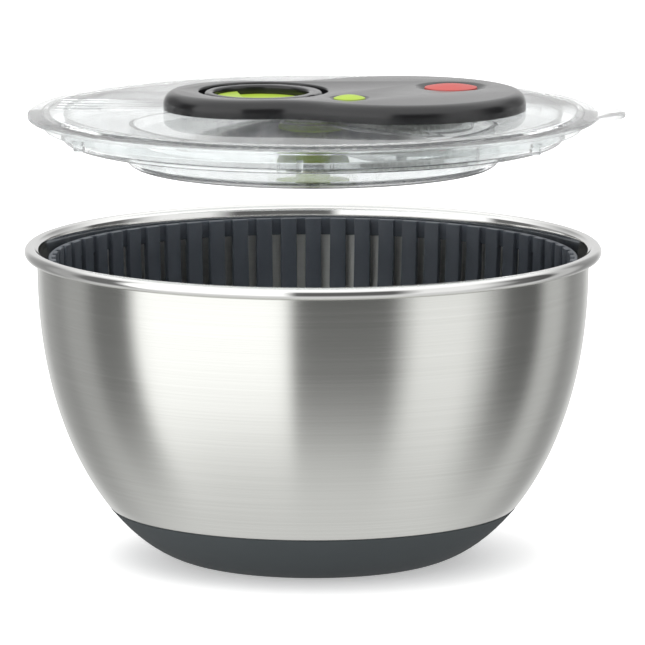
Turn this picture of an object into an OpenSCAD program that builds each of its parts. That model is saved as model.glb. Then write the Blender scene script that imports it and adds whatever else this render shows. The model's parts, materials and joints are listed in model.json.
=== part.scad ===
// Salad spinner: steel bowl, slotted basket, and a clear lid whose pull ring unwinds a cord
// from a reel. The reel turns a gear and a pinion, and the pinion's spindle turns the basket
// cover, which drives the basket by its lugs. The lid is drawn lifted off the bowl.

/* [Bowl] */
// Outer radius of the steel wall under the rim
bowl_r = 122; // [117:0.5:150]
// Height of the steel wall, up to the middle of the rim roll
bowl_h = 137; // [110:0.5:170]
// Thickness of the steel sheet
bowl_t = 0.8; // [0.6:0.1:1.2]
// Radius of the rolled rim's tube
rim_roll_r = 2.75; // [2.2:0.05:3.4]
// How far the middle of the rim roll stands outside the wall's outer face
rim_roll_out = 2.9; // [2.6:0.1:4]
// Radius of the flat bottom
foot_r = 54; // [43:0.5:66]
// Thickness of the non-slip base under the bottom
pad_t = 2; // [1.5:0.1:3]
// Thickness of the non-slip base at its upper edge
pad_edge_t = 0.3; // [0.2:0.1:0.6]
// Height of the non-slip base
pad_h = 23; // [18:0.5:30]

/* [Basket] */
// Gap between the bowl's inner face and the basket's outer face
basket_gap = 4.2; // [3:0.1:6]
// How far the basket's top edge lies below the middle of the rim roll
basket_drop = 2.5; // [2:0.1:5]
// Depth of a bar, from the outer to the inner face
bar_depth = 3.2; // [2.5:0.1:4]
// Number of bars
bar_count = 64; // [48:1:72]
// Width of the gap between two bars at the top
slot_w = 4.2; // [3.6:0.1:5]
// Width of the gap between two bars at the bottom
slot_low_w = 2.4; // [2:0.1:3]
// Height of the closed band that joins the bars at the top
band_h = 7.5; // [5:0.5:10]
// Thickness of the closed band, at the outside of the bars
band_t = 1.4; // [1:0.1:1.8]
// Thickness of the basket's floor
floor_t = 2.2; // [1.8:0.1:3]
// Gap under the basket's floor, where the water gathers
water_gap = 9; // [7:0.5:12]

/* [Pivot] */
// Radius of the pivot foot's disc
foot_disc_r = 15; // [12:0.5:20]
// Thickness of the pivot foot's disc
foot_disc_t = 3; // [2:0.5:4]
// Radius of the pivot pin
pivot_r = 4; // [3:0.1:5]
// Running clearance of a pin in its bore
run_fit = 0.05; // [0.02:0.01:0.09]

/* [Lid] */
// Height that the lid is lifted above its closed place
lid_raise = 57; // [45:1:70]
// Thickness of the lid's plate
plate_t = 2.2; // [1.8:0.1:3]
// How far the lid's outer edge stands outside the bowl's wall
lid_over = 4; // [3.6:0.1:5]
// Width of the lid's sloping lip
lip_w = 8.5; // [7.5:0.1:10]
// How far the top of the lip falls from the plate to the outer edge
lip_drop = 1.8; // [1:0.1:3]
// Thickness of the lip
lip_t = 1.7; // [1.4:0.1:2.4]
// Depth of the skirt below the lid's top
skirt_depth = 8.3; // [6:0.1:9]
// Thickness of the skirt
skirt_t = 1.5; // [1.2:0.1:2]
// Clearance between the skirt and the bowl's inner face
skirt_gap = 2.5; // [1.5:0.1:4]
// How far the lift tab stands out of the edge
tab_out = 12; // [8:0.5:16]
// Width of the lift tab
tab_w = 38; // [28:1:50]
// Thickness of the lift tab
tab_t = 1.7; // [1.4:0.1:2.4]
// Number of pouring slots
pour_count = 5; // [3:1:7]
// Distance between two pouring slots
pour_pitch = 8.2; // [6:0.1:9]
// Length of a pouring slot
pour_len = 21; // [15:0.5:26]
// Width of a pouring slot
pour_w = 1.8; // [1.2:0.1:3]

/* [Basket cover] */
// Gap between the bars' inner face and the basket cover's ring
cover_gap = 3.3; // [2.5:0.1:4]
// Depth of the ring's upper edge below the lid's top
cover_top_z = 3.6; // [3:0.1:5]
// Depth of the step below the lid's top
cover_step_z = 13.8; // [13:0.1:17]
// Width of the step between the tray and the ring
step_w = 28.2; // [20:0.1:32]
// Depth of the tray's underside below the lid's top
tray_z = 24.6; // [24:0.1:30]
// Wall thickness of the basket cover
cover_t = 1.6; // [1.2:0.1:2.2]
// Number of drive lugs
lug_count = 6; // [4:1:8]
// Width of a drive lug
lug_w = 2.9; // [2:0.1:3.2]
// Height of a drive lug
lug_h = 5.4; // [4:0.1:7]
// How far a drive lug reaches past the bars' inner face
lug_bite = 1.2; // [0.8:0.1:1.6]

/* [Housing] */
// Radius of the lobe that holds the ring
ring_lobe_r = 38; // [36:0.5:45]
// Distance of the ring lobe's middle from the lid's axis
ring_lobe_x = 28; // [24:0.5:32]
// Radius of the lobe that holds the reel
reel_lobe_r = 55; // [52:0.5:64]
// Radius of the hollow curve that joins the lobes
waist_r = 36; // [24:1:44]
// Height of the housing above the lid
housing_h = 8; // [7.6:0.1:9.6]
// Wall thickness of the housing
housing_t = 2; // [1.6:0.1:2.4]
// Inset of the housing's bevelled top edge
housing_bevel = 2.4; // [1.5:0.1:3]

/* [Pull ring] */
// Outer radius of the pull ring
ring_r = 26.3; // [22:0.1:27]
// Mean width of the pull ring
ring_w = 5.3; // [4.8:0.1:6.5]
// Offset of the hole from the ring's middle, which thickens the side with the cord
ring_hole_off = 1.1; // [0.6:0.1:2]
// Thickness of the pull ring
ring_t = 4.6; // [4:0.1:5]
// Distance of the ring's middle from the lid's axis
ring_x = 21.9; // [20:0.1:24]
// Radial gap between the ring and its recess
recess_gap = 2.2; // [1.5:0.1:2.6]
// Length of cord that a full pull draws out
pull_len = 450; // [300:10:600]

/* [Buttons] */
// Radius of the red brake button
brake_r = 11.7; // [9.5:0.1:14]
// Travel of the brake button
brake_travel = 3; // [2:0.1:3.2]
// Radius of the green release button
release_r = 7; // [5.8:0.1:8.4]
// Travel of the release button
release_travel = 1.8; // [1.4:0.1:2]
// Travel of the latch
latch_travel = 2.7; // [2.4:0.1:3]
// Width of the latch
latch_w = 5; // [4.4:0.1:6]

/* [Drive] */
// Size of a gear tooth, as pitch diameter over teeth
gear_module = 1; // [0.8:0.01:1.1]
// Teeth of the drive gear
gear_teeth = 56; // [50:1:60]
// Teeth of the pinion
pinion_teeth = 22; // [18:1:24]
// Width of the gears
gear_w = 4; // [3:0.1:4.5]
// Thickness of the cord
cord_d = 2; // [1.6:0.1:2.2]
// Radius of the reel's core under the cord
reel_core_r = 12; // [10:0.1:13]
// Radius of the reel's flanges
reel_flange_r = 18.6; // [17.5:0.1:19]
// Radius of the reel's axle
axle_r = 2; // [1.5:0.1:2.4]
// Radius of the spindle
spindle_r = 3; // [2.5:0.1:3.2]

/* [Hidden] */
$fn = 96;
eps = 0.05;
part_gap = 0.02;

// Bowl outline: a flat bottom that turns up into a nearly upright wall.
wall_h = bowl_h - 3;
function body_r(z) =
    z >= wall_h ? bowl_r : foot_r + (bowl_r - foot_r) * pow(1 - pow(1 - z / wall_h, 2.2), 1 / 1.7);
function body_slope(z) = (body_r(z + 0.01) - body_r(max(0, z - 0.01))) / (z < 0.01 ? z + 0.01 : 0.02);
function body_pt(z, d) =
    let (s = body_slope(z), n = sqrt(1 + s * s)) [body_r(z) - d / n, z + d * s / n];
function inset_r(z, d) = body_r(z) - d * sqrt(1 + body_slope(z) * body_slope(z));
function pad_depth(z) = pad_edge_t + (pad_t - pad_edge_t) * (1 - z / pad_h);
low_z = [for (i = [0:8]) pad_h * pow(i / 8, 1.8)];
high_z = [for (i = [0:14]) pad_h + 0.5 + (bowl_h - pad_h - 0.5) * i / 14];
pad_inner = concat([[0, pad_t], [foot_r, pad_t]], [for (i = [1:8]) body_pt(low_z[i], pad_depth(low_z[i]))]);
bowl_floor_z = pad_t + bowl_t;

// Basket
basket_top = bowl_h - basket_drop;
basket_out = bowl_t + basket_gap;
basket_floor_z = bowl_floor_z + water_gap;
bar_low_z = basket_floor_z + floor_t + 5;
bar_in_r = bowl_r - basket_out - bar_depth;
basket_z = [for (i = [0:7]) basket_floor_z + (basket_top - basket_floor_z) * pow(i / 7, 1.3)];
hub_r = pivot_r + 3.5;
pin_top_z = basket_floor_z + 7;
floor_slots = 16;
hub_slot_start = hub_r + 12.5;
hub_slot_len = 16;
hub_slot_w = 3;
edge_slot_start = foot_r - 12;
edge_slot_len = 18;
edge_slot_w = 4;

// Lid: all its heights are below or above the top face of its plate.
rim_top = bowl_h + rim_roll_r;
lid_closed_z = rim_top + lip_drop + lip_t + 0.05;
lid_z = lid_closed_z + lid_raise;
lid_r = bowl_r + lid_over;
plate_r = lid_r - lip_w;
skirt_out_r = bowl_r - bowl_t - skirt_gap;
tab_round = tab_w / 2 + 9;
plate_bottom = -plate_t;
cover_r = bar_in_r - cover_gap;
tray_r = cover_r - step_w;
lug_r = bar_in_r + lug_bite;
lug_start = -93;
// Angle of a drive lug: the middle of the gap between bars in which its share of a turn falls
function lug_angle(i) = (floor((lug_start + i * 360 / lug_count) * bar_count / 360) + 0.5) * 360 / bar_count;

// Drive train levels, measured from the lid's top
pitch_r = gear_module * gear_teeth / 2;
pinion_r = gear_module * pinion_teeth / 2;
axle_x = pitch_r + pinion_r;
gear_low = -15.5;
gear_top = gear_low + gear_w;
case_floor_low = -17.5;
case_floor_top = -16;
boss_depth = 3.7;
case_t = 1.5;
case_r = pitch_r + gear_module + 3.5;
case_small_r = pinion_r + gear_module + 2.5;
plate_hole_r = reel_flange_r + 1.4;
ratchet_top = -8.3;
ratchet_tip_r = 13.5;
ratchet_root_r = 16;
ratchet_teeth = 12;
ratchet_play = 7;
pawl_pin_x = 9.5;
pawl_pin_r = 1.2;
pawl_t = 2.4;
axle_head_t = 1;
nut_t = 2.5;
reel_low = -6.9;
reel_flange_t = 1.2;
groove_h = 4.2;
reel_top = reel_low + 2 * reel_flange_t + groove_h;
ceiling = housing_h - housing_t;
hub_low = -tray_z + cover_t;
bush_r = spindle_r + 1.3;

// Cord
cord_r = cord_d / 2;
wind_r = reel_flange_r - 2.6;
ring_hole_r = ring_r - ring_w;
guide_x = -ring_x + (ring_r + ring_hole_r - ring_hole_off) / 2;
guide_r = 3;
guide_low = 1.2;
cord_z = reel_low + reel_flange_t + groove_h / 2;
tangent_r = wind_r + cord_r + part_gap;
guide_dist = axle_x - guide_x;
tangent_angle = 180 + acos(tangent_r / guide_dist);
tangent_pt = [axle_x + tangent_r * cos(tangent_angle), tangent_r * sin(tangent_angle)];
cord_dir = [guide_x - tangent_pt[0], -tangent_pt[1]] / norm([guide_x - tangent_pt[0], -tangent_pt[1]]);
cord_bend_r = 3;
guide_top = 2.9;

// Ring and its recess
recess_r = ring_r + recess_gap;
recess_floor_low = 1.55;
recess_floor_top = 2.6;
ring_low = 3;
ring_top = ring_low + ring_t;
knot_z = ring_low + 1.9;
knot_r = 1.8;
knot_t = 1.8;
well_x = -ring_x - ring_hole_off;
well_r = ring_hole_r - 0.7;

// Buttons
brake_axis = [axle_x, 0];
brake_pos = brake_axis + [22, 14];
brake_dir = (brake_pos - brake_axis) / norm(brake_pos - brake_axis);
stem_pos = brake_axis + brake_dir * 22.5;
stem_r = 2.2;
pad_r = 3;
brake_pad_t = 2.2;
button_fit = 0.25;
brake_top = housing_h - 1.3;
brake_cup_low = 0.6;
brake_cup_t = 1;
dish_depth = 1.6;
dish_w = 4.2;
brake_spring_r = 4;
brake_wire_r = 0.3;
release_spring_r = 2;
release_wire_r = 0.2;
release_stem_r = 1.1;
release_collar_low = 2.9;
pad_low = gear_top + brake_travel + eps;
release_pos = [16, -25];
latch_dir = (release_pos + [ring_x, 0]) / norm(release_pos + [ring_x, 0]);
latch_tip = [-ring_x, 0] + latch_dir * (ring_r + 0.25);
latch_angle = atan2(latch_dir[1], latch_dir[0]);
latch_len = norm(release_pos - latch_tip);
latch_low = 3.7;
latch_bite = 1.5;
latch_t = 1.5;

// Screws: angle around the reel's axle
screw_ring_r = case_r + 9;
screw_angles = [62, -62, 114, -114];
screw_r = 1.25;
screw_head_r = 2.6;
screw_head_t = 1.45;
boss_r = 3.4;
screw_pts = [for (a = screw_angles) [axle_x + screw_ring_r * cos(a), screw_ring_r * sin(a)]];
end_screw_pt = [-ring_lobe_x - ring_lobe_r + 8.5, 0];

// ---- shared shapes ----

module tube(r_out, r_in, h) {
    difference() {
        cylinder(r = r_out, h = h);
        translate([0, 0, -1]) cylinder(r = r_in, h = h + 2);
    }
}

module at_lid(z = 0) {
    translate([0, 0, lid_z + z]) children();
}

module at_axle(z = 0) {
    translate([axle_x, 0, lid_z + z]) children();
}

// Outline of the housing as lobes and a waist, inset at its bottom and at its top.
module lobes(h, low_inset, top_inset) {
    left = [-ring_lobe_x, 0];
    right = [axle_x, 0];
    span = axle_x + ring_lobe_x;
    a = ring_lobe_r + waist_r;
    b = reel_lobe_r + waist_r;
    along = (span * span + a * a - b * b) / (2 * span);
    across = sqrt(a * a - along * along);
    waist = [-ring_lobe_x + along, across];
    left_pt = left + (waist - left) * ring_lobe_r / a;
    right_pt = right + (waist - right) * reel_lobe_r / b;
    translate([left[0], 0, 0]) cylinder(h = h, r1 = ring_lobe_r - low_inset, r2 = ring_lobe_r - top_inset);
    translate([right[0], 0, 0]) cylinder(h = h, r1 = reel_lobe_r - low_inset, r2 = reel_lobe_r - top_inset);
    difference() {
        linear_extrude(height = h)
            polygon([left_pt, right_pt, [right_pt[0], -right_pt[1]], [left_pt[0], -left_pt[1]]]);
        for (side = [-1, 1])
            translate([waist[0], side * waist[1], -eps])
                cylinder(h = h + 2 * eps, r1 = waist_r + low_inset, r2 = waist_r + top_inset);
    }
}

// Toothed wheel with straight flanks that run clear of the mating wheel.
module toothed(teeth, r, h, bore_r) {
    root = r - 1.15 * gear_module;
    tip = r + 0.9 * gear_module;
    half_root = 90 / teeth * 1.25;
    half_pitch = 90 / teeth * 0.88;
    half_tip = 90 / teeth * 0.42;
    points = [for (i = [0:teeth - 1]) each [
        [root * cos(i * 360 / teeth - half_root), root * sin(i * 360 / teeth - half_root)],
        [r * cos(i * 360 / teeth - half_pitch), r * sin(i * 360 / teeth - half_pitch)],
        [tip * cos(i * 360 / teeth - half_tip), tip * sin(i * 360 / teeth - half_tip)],
        [tip * cos(i * 360 / teeth + half_tip), tip * sin(i * 360 / teeth + half_tip)],
        [r * cos(i * 360 / teeth + half_pitch), r * sin(i * 360 / teeth + half_pitch)],
        [root * cos(i * 360 / teeth + half_root), root * sin(i * 360 / teeth + half_root)]
    ]];
    difference() {
        linear_extrude(height = h) polygon(points);
        translate([0, 0, -1]) cylinder(r = bore_r, h = h + 2);
    }
}

// Round bar along a route: a ring of points at every route point, closed at both ends.
module round_bar(route, r, sides) {
    last = len(route) - 1;
    function heading(i) = route[min(last, i + 1)] - route[max(0, i - 1)];
    function unit(v) = v / norm(v);
    function up_dir(t) = abs(t[2]) > 0.9 ? [0, 1, 0] : [0, 0, 1];
    function side_dir(i) = let (t = unit(heading(i))) unit(cross(t, up_dir(t)));
    rings = [for (i = [0:last]) let (t = unit(heading(i)), u = side_dir(i), v = cross(t, u))
        for (k = [0:sides - 1]) route[i] + r * (cos(360 * k / sides) * u + sin(360 * k / sides) * v)];
    walls = [for (i = [0:last - 1]) for (k = [0:sides - 1]) let (m = (k + 1) % sides)
        [i * sides + k, i * sides + m, (i + 1) * sides + m, (i + 1) * sides + k]];
    polyhedron(points = rings, faces = concat(
        walls, [[for (k = [0:sides - 1]) sides - 1 - k]], [[for (k = [0:sides - 1]) last * sides + k]]));
}

// Compression spring between two heights.
module coil(r, wire_r, z0, z1, turns) {
    steps = turns * 16;
    low = z0 + wire_r;
    high = z1 - wire_r;
    route = [for (i = [0:steps]) [r * cos(i * 22.5), r * sin(i * 22.5), low + (high - low) * i / steps]];
    round_bar(route, wire_r, 6);
}

// ---- bowl ----

module bowl_shell() {
    low_out = [for (i = [1:8]) body_pt(low_z[i], pad_depth(low_z[i]))];
    high_out = [for (z = high_z) [body_r(z), z]];
    low_in = [for (i = [1:8]) body_pt(low_z[i], pad_depth(low_z[i]) + bowl_t)];
    high_in = [for (z = high_z) [inset_r(z, bowl_t), z]];
    inner = concat([[0, bowl_floor_z], [foot_r, bowl_floor_z]], low_in, high_in);
    outer = concat([[0, pad_t], [foot_r, pad_t]], low_out, high_out);
    color("silver") {
        rotate_extrude() polygon(concat(outer, [for (i = [len(inner) - 1:-1:0]) inner[i]]));
        translate([0, 0, bowl_h]) rotate_extrude()
            translate([bowl_r + rim_roll_out, 0]) circle(r = rim_roll_r, $fn = 48);
        translate([0, 0, bowl_h - 0.4]) tube(bowl_r + rim_roll_out - rim_roll_r + 0.5, bowl_r - bowl_t, 0.8);
    }
}

module base_pad() {
    outer = concat([[0, 0], [foot_r, 0]], [for (i = [1:8]) [body_r(low_z[i]), low_z[i]]]);
    color("dimgray")
        rotate_extrude() polygon(concat(outer, [for (i = [len(pad_inner) - 1:-1:0]) pad_inner[i]]));
}

// ---- basket ----

module pivot_foot() {
    color("ivory") {
        translate([0, 0, bowl_floor_z + part_gap]) cylinder(r = foot_disc_r, h = foot_disc_t);
        translate([0, 0, bowl_floor_z + 1]) cylinder(r = pivot_r, h = pin_top_z - bowl_floor_z - 1);
    }
}

// Gap between two bars, as a block that reaches from one radius to another and tapers in width.
module bar_gap(r0, r1, z0, z1, low_w, high_w) {
    translate([r0, 0, 0]) rotate([90, 0, 90]) linear_extrude(height = r1 - r0)
        polygon([[-low_w / 2, z0], [low_w / 2, z0], [high_w / 2, z1], [-high_w / 2, z1]]);
}

module basket() {
    pitch = 360 / bar_count;
    outer = [for (z = basket_z) [inset_r(z, basket_out), z]];
    inner = [for (z = basket_z) if (z > basket_floor_z + floor_t) [inset_r(z, basket_out) - bar_depth, z]];
    profile = concat(
        [[0, basket_floor_z]], outer, [for (i = [len(inner) - 1:-1:0]) inner[i]],
        [[outer[0][0] - 1, basket_floor_z + floor_t], [0, basket_floor_z + floor_t]]);
    gap_in = foot_r + 8;
    band_in_r = bowl_r - basket_out - band_t;
    color("darkslategray") difference() {
        union() {
            rotate_extrude() polygon(profile);
            translate([0, 0, basket_floor_z - 4]) cylinder(r = hub_r, h = pin_top_z + 3 - basket_floor_z + 4);
        }
        translate([0, 0, basket_floor_z - 5])
            cylinder(r = pivot_r + run_fit, h = pin_top_z + 5.1 - basket_floor_z);
        for (i = [0:bar_count - 1]) rotate([0, 0, (i + 0.5) * pitch]) {
            bar_gap(gap_in, bowl_r + 2, bar_low_z, basket_top - band_h, slot_low_w, slot_w);
            bar_gap(gap_in, band_in_r, basket_top - band_h - eps, basket_top + 1, slot_w, slot_w);
        }
        for (i = [0:floor_slots - 1]) rotate([0, 0, i * 360 / floor_slots]) {
            translate([hub_slot_start, -hub_slot_w / 2, basket_floor_z - 1])
                cube([hub_slot_len, hub_slot_w, floor_t + 2]);
            translate([edge_slot_start, -edge_slot_w / 2, basket_floor_z - 1])
                cube([edge_slot_len, edge_slot_w, floor_t + 2]);
        }
    }
}

// ---- lid ----

module lid_shell() {
    skirt_in = skirt_out_r - skirt_t;
    profile = [
        [0, 0], [plate_r, 0], [lid_r, -lip_drop], [lid_r, -lip_drop - lip_t],
        [skirt_out_r + 0.6, -lip_t - lip_drop], [skirt_out_r, -lip_t - lip_drop - 0.6],
        [skirt_out_r, -skirt_depth], [skirt_in, -skirt_depth], [skirt_in, plate_bottom], [0, plate_bottom]
    ];
    color("aliceblue", 0.4) at_lid() difference() {
        union() {
            rotate_extrude() polygon(profile);
            difference() {
                translate([lid_r + tab_out - tab_round, 0, -lip_drop - lip_t])
                    cylinder(r = tab_round, h = tab_t);
                translate([0, 0, -20]) cylinder(r = lid_r - 1, h = 40);
                for (side = [-1, 1]) translate([lid_r - 20, side * tab_w - tab_w / 2, -20])
                    cube([60, tab_w, 40]);
            }
        }
        translate([axle_x, 0, -5]) cylinder(r = plate_hole_r, h = 10);
        translate([stem_pos[0], stem_pos[1], -5]) cylinder(r = pad_r + 0.4, h = 10);
        translate([0, 0, -5]) cylinder(r = case_small_r, h = 10);
        for (p = concat(screw_pts, [end_screw_pt]))
            translate([p[0], p[1], -5]) cylinder(r = screw_r + 0.4, h = 10);
        for (i = [0:pour_count - 1])
            translate([-plate_r + 3.5 + 0.6 * i, i * pour_pitch - pour_w / 2, -5])
                cube([pour_len, pour_w, 10]);
    }
}

// ---- housing and gear cover ----

module housing_cover() {
    brake_cup_r = brake_r + button_fit;
    color([0.1, 0.1, 0.11]) at_lid() difference() {
        union() {
            difference() {
                union() {
                    lobes(housing_h - housing_bevel, 0, 0);
                    translate([0, 0, housing_h - housing_bevel]) lobes(housing_bevel, 0, housing_bevel);
                }
                translate([0, 0, -1]) lobes(ceiling + 1, housing_t, housing_t);
            }
            translate([-ring_x, 0, recess_floor_low])
                cylinder(r = recess_r + 1.4, h = ceiling + 1 - recess_floor_low);
            for (p = concat(screw_pts, [end_screw_pt]))
                translate([p[0], p[1], part_gap]) cylinder(r = boss_r, h = ceiling + 1);
            translate([brake_pos[0], brake_pos[1], brake_cup_low]) cylinder(r = brake_r + 1.6, h = ceiling);
            translate([axle_x, 0, reel_top + 0.3]) cylinder(r = axle_r + 2.4, h = ceiling + 1 - reel_top);
        }
        translate([-ring_x, 0, recess_floor_top]) cylinder(r = recess_r, h = housing_h);
        translate([guide_x, 0, 0]) cylinder(r = guide_r, h = 5);
        translate([brake_pos[0], brake_pos[1], brake_cup_low + brake_cup_t])
            cylinder(r = brake_cup_r, h = housing_h);
        translate([brake_pos[0], brake_pos[1], housing_h - dish_depth])
            cylinder(r1 = brake_cup_r, r2 = brake_r + dish_w, h = dish_depth + eps);
        translate([stem_pos[0], stem_pos[1], 0]) cylinder(r = stem_r + run_fit, h = 5);
        translate([release_pos[0], release_pos[1], 0])
            cylinder(r = release_r + button_fit, h = housing_h + 1);
        translate([axle_x, 0, 0]) cylinder(r = axle_r + part_gap, h = ceiling + 0.5);
        translate([latch_tip[0], latch_tip[1], latch_low - 0.2]) rotate([0, 0, latch_angle])
            translate([-1, -latch_w / 2 - 0.2, 0]) cube([12, latch_w + 0.4, latch_t + 0.3]);
        for (p = concat(screw_pts, [end_screw_pt]))
            translate([p[0], p[1], -1]) cylinder(r = screw_r + part_gap, h = ceiling + 0.2);
    }
}

module gear_cover() {
    flange_r = screw_ring_r + 4.5;
    case_h = plate_bottom - part_gap - case_floor_low;
    color("aliceblue", 0.5) at_lid() difference() {
        union() {
            translate([axle_x, 0, plate_bottom - case_t]) cylinder(r = flange_r, h = case_t - part_gap);
            translate([0, 0, plate_bottom - case_t]) cylinder(r = case_small_r + 5, h = case_t - part_gap);
            translate([axle_x, 0, case_floor_low]) cylinder(r = case_r + case_t, h = case_h);
            translate([0, 0, case_floor_low]) cylinder(r = case_small_r + case_t, h = case_h);
            translate([0, 0, case_floor_low - boss_depth]) cylinder(r = spindle_r + 2.6, h = boss_depth + 1);
        }
        translate([axle_x, 0, case_floor_top]) cylinder(r = case_r, h = 20);
        translate([0, 0, case_floor_top]) cylinder(r = case_small_r, h = 20);
        translate([axle_x, 0, case_floor_low - 1]) cylinder(r = axle_r + part_gap, h = 5);
        translate([0, 0, case_floor_low - 6]) cylinder(r = bush_r + part_gap, h = 10);
        for (p = screw_pts) translate([p[0], p[1], -10]) cylinder(r = screw_r + 0.4, h = 10);
    }
}

// Green dish under the pull ring, with a raised step at the side away from the cord.
module finger_well() {
    color("yellowgreen") at_lid(recess_floor_top + part_gap) difference() {
        translate([well_x, 0, 0]) cylinder(r = well_r, h = 2.7);
        translate([well_x - 6, -well_r, 1.2]) cube([2 * well_r, 2 * well_r, 5]);
    }
}

module cord_guide() {
    color("gainsboro") at_lid(guide_low) translate([guide_x, 0, 0])
        tube(guide_r - part_gap, cord_r + 0.12, guide_top - guide_low);
}

module cord_run() {
    bend_start = [guide_x, 0] - cord_dir * cord_bend_r;
    route = concat(
        [for (i = [0:4]) let (p = tangent_pt + (bend_start - tangent_pt) * i / 4) [p[0], p[1], cord_z]],
        [for (a = [22.5:22.5:67.5]) [
            bend_start[0] + cord_dir[0] * cord_bend_r * sin(a),
            bend_start[1] + cord_dir[1] * cord_bend_r * sin(a),
            cord_z + cord_bend_r * (1 - cos(a))]],
        [[guide_x, 0, cord_z + cord_bend_r], [guide_x, 0, guide_top]]);
    color("whitesmoke") at_lid() round_bar(route, cord_r, 8);
}

module cord_tail() {
    color("whitesmoke") at_lid(guide_top + part_gap) translate([guide_x, 0, 0])
        cylinder(r = cord_r, h = knot_z - guide_top - 2 * part_gap);
}

module reel_axle() {
    color("silver") at_axle(case_floor_low - axle_head_t) {
        cylinder(r = axle_r, h = ceiling + 0.3 + axle_head_t - case_floor_low);
        cylinder(r = axle_r + 1.6, h = axle_head_t - part_gap);
    }
}

module axle_clip() {
    color("silver") at_axle(reel_top + 0.05) difference() {
        cylinder(r = axle_r + 1.9, h = 0.2);
        translate([0, 0, -1]) cylinder(r = axle_r + part_gap, h = 2);
        translate([0, -0.7, -1]) cube([6, 1.4, 2]);
    }
}

module spindle_bush() {
    collar_t = 0.4;
    color("goldenrod") at_lid() {
        translate([0, 0, case_floor_low - boss_depth])
            tube(bush_r, spindle_r + run_fit, case_floor_top - case_floor_low + boss_depth + collar_t);
        translate([0, 0, case_floor_top + part_gap])
            tube(bush_r + 1.3, spindle_r + run_fit, collar_t - part_gap);
    }
}

module case_screws() {
    color("silver") at_lid() for (p = screw_pts) {
        translate([p[0], p[1], plate_bottom - case_t - 1.5]) cylinder(r = screw_head_r, h = screw_head_t);
        translate([p[0], p[1], plate_bottom - case_t - 0.1])
            cylinder(r = screw_r, h = ceiling - plate_bottom + case_t - 1);
    }
    color("silver") at_lid() translate([end_screw_pt[0], end_screw_pt[1], plate_bottom - 1.5]) {
        cylinder(r = screw_head_r, h = screw_head_t);
        translate([0, 0, 1.4]) cylinder(r = screw_r, h = ceiling - plate_bottom - 1);
    }
}

module brake_spring() {
    color("silver") at_lid() translate([stem_pos[0], stem_pos[1], 0])
        coil(brake_spring_r, brake_wire_r, brake_cup_low + brake_cup_t + part_gap, brake_top - part_gap, 3);
}

module release_spring() {
    color("silver") at_lid() translate([release_pos[0], release_pos[1], 0])
        coil(release_spring_r, release_wire_r, part_gap, release_collar_low - part_gap, 3);
}

// ---- basket cover and spindle ----

module basket_cover() {
    ring_in = cover_r - cover_t;
    tray_in = tray_r - cover_t;
    round_r = 3;
    profile = concat(
        [[spindle_r + part_gap, -tray_z], [tray_r - round_r, -tray_z]],
        [for (a = [-67.5:22.5:0]) [tray_r + round_r * (cos(a) - 1), -tray_z + round_r * (1 + sin(a))]],
        [[tray_r, -cover_step_z], [cover_r - 1, -cover_step_z], [cover_r, -cover_step_z + 1],
         [cover_r, -cover_top_z], [ring_in, -cover_top_z], [ring_in, -cover_step_z + cover_t],
         [tray_in, -cover_step_z + cover_t], [tray_in, hub_low], [spindle_r + part_gap, hub_low]]);
    color("aliceblue", 0.4) at_lid() {
        rotate_extrude() polygon(profile);
        for (i = [0:lug_count - 1]) rotate([0, 0, lug_angle(i)])
            translate([cover_r - 0.6, -lug_w / 2, -cover_step_z + 1])
                cube([lug_r - cover_r + 0.6, lug_w, lug_h]);
    }
}

module cover_hub() {
    color("yellowgreen") at_lid(hub_low + part_gap) difference() {
        union() {
            cylinder(r = 16, h = 1.4);
            cylinder(r = spindle_r + 4.6, h = case_floor_low - hub_low - 0.5);
        }
        translate([0, 0, -1]) cylinder(r = spindle_r + part_gap, h = 20);
        translate([0, 0, 1.5]) cylinder(r = spindle_r + 3, h = 20);
    }
}

module spindle() {
    end_z = -tray_z - nut_t - 0.3;
    color("silver") at_lid(end_z) cylinder(r = spindle_r, h = gear_top + 1 - end_z);
}

module spindle_clip() {
    color("silver") at_lid(gear_top + 0.1) difference() {
        cylinder(r = spindle_r + 2, h = 0.7);
        translate([0, 0, -1]) cylinder(r = spindle_r + part_gap, h = 3);
        translate([0, -1, -1]) cube([8, 2, 3]);
    }
}

module spindle_nut() {
    color("silver") at_lid(-tray_z - nut_t) difference() {
        cylinder(r = spindle_r + 2.5, h = nut_t - part_gap, $fn = 6);
        translate([0, 0, -1]) cylinder(r = spindle_r + part_gap, h = 5);
    }
}

module pinion() {
    // A gap of the pinion faces a tooth of the drive gear.
    color("whitesmoke") at_lid(gear_low) rotate([0, 0, 180 / pinion_teeth])
        toothed(pinion_teeth, pinion_r, gear_w, spindle_r + part_gap);
}

// ---- drive gear, reel and pawls ----

module drive_gear() {
    step = 360 / ratchet_teeth;
    face = -33 - ratchet_play;
    saw = [for (i = [0:ratchet_teeth - 1]) each [
        ratchet_root_r * [cos(face + i * step), sin(face + i * step)],
        (ratchet_tip_r + 1.2) * [cos(face + 15 + i * step), sin(face + 15 + i * step)],
        ratchet_tip_r * [cos(face + 29.5 + i * step), sin(face + 29.5 + i * step)]
    ]];
    bore_r = axle_r + run_fit;
    color("whitesmoke") at_axle() rotate([0, 0, 180]) {
        translate([0, 0, gear_low]) toothed(gear_teeth, pitch_r, gear_w, bore_r);
        translate([0, 0, gear_low - 0.4]) tube(axle_r + 2, bore_r, reel_low - gear_low + 0.3);
        translate([0, 0, gear_top - 0.5]) difference() {
            cylinder(r = ratchet_root_r + 2.4, h = ratchet_top - gear_top + 0.5);
            translate([0, 0, 0.5]) linear_extrude(height = 10) polygon(saw);
            translate([0, 0, -1]) cylinder(r = bore_r, h = 5);
        }
    }
}

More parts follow.
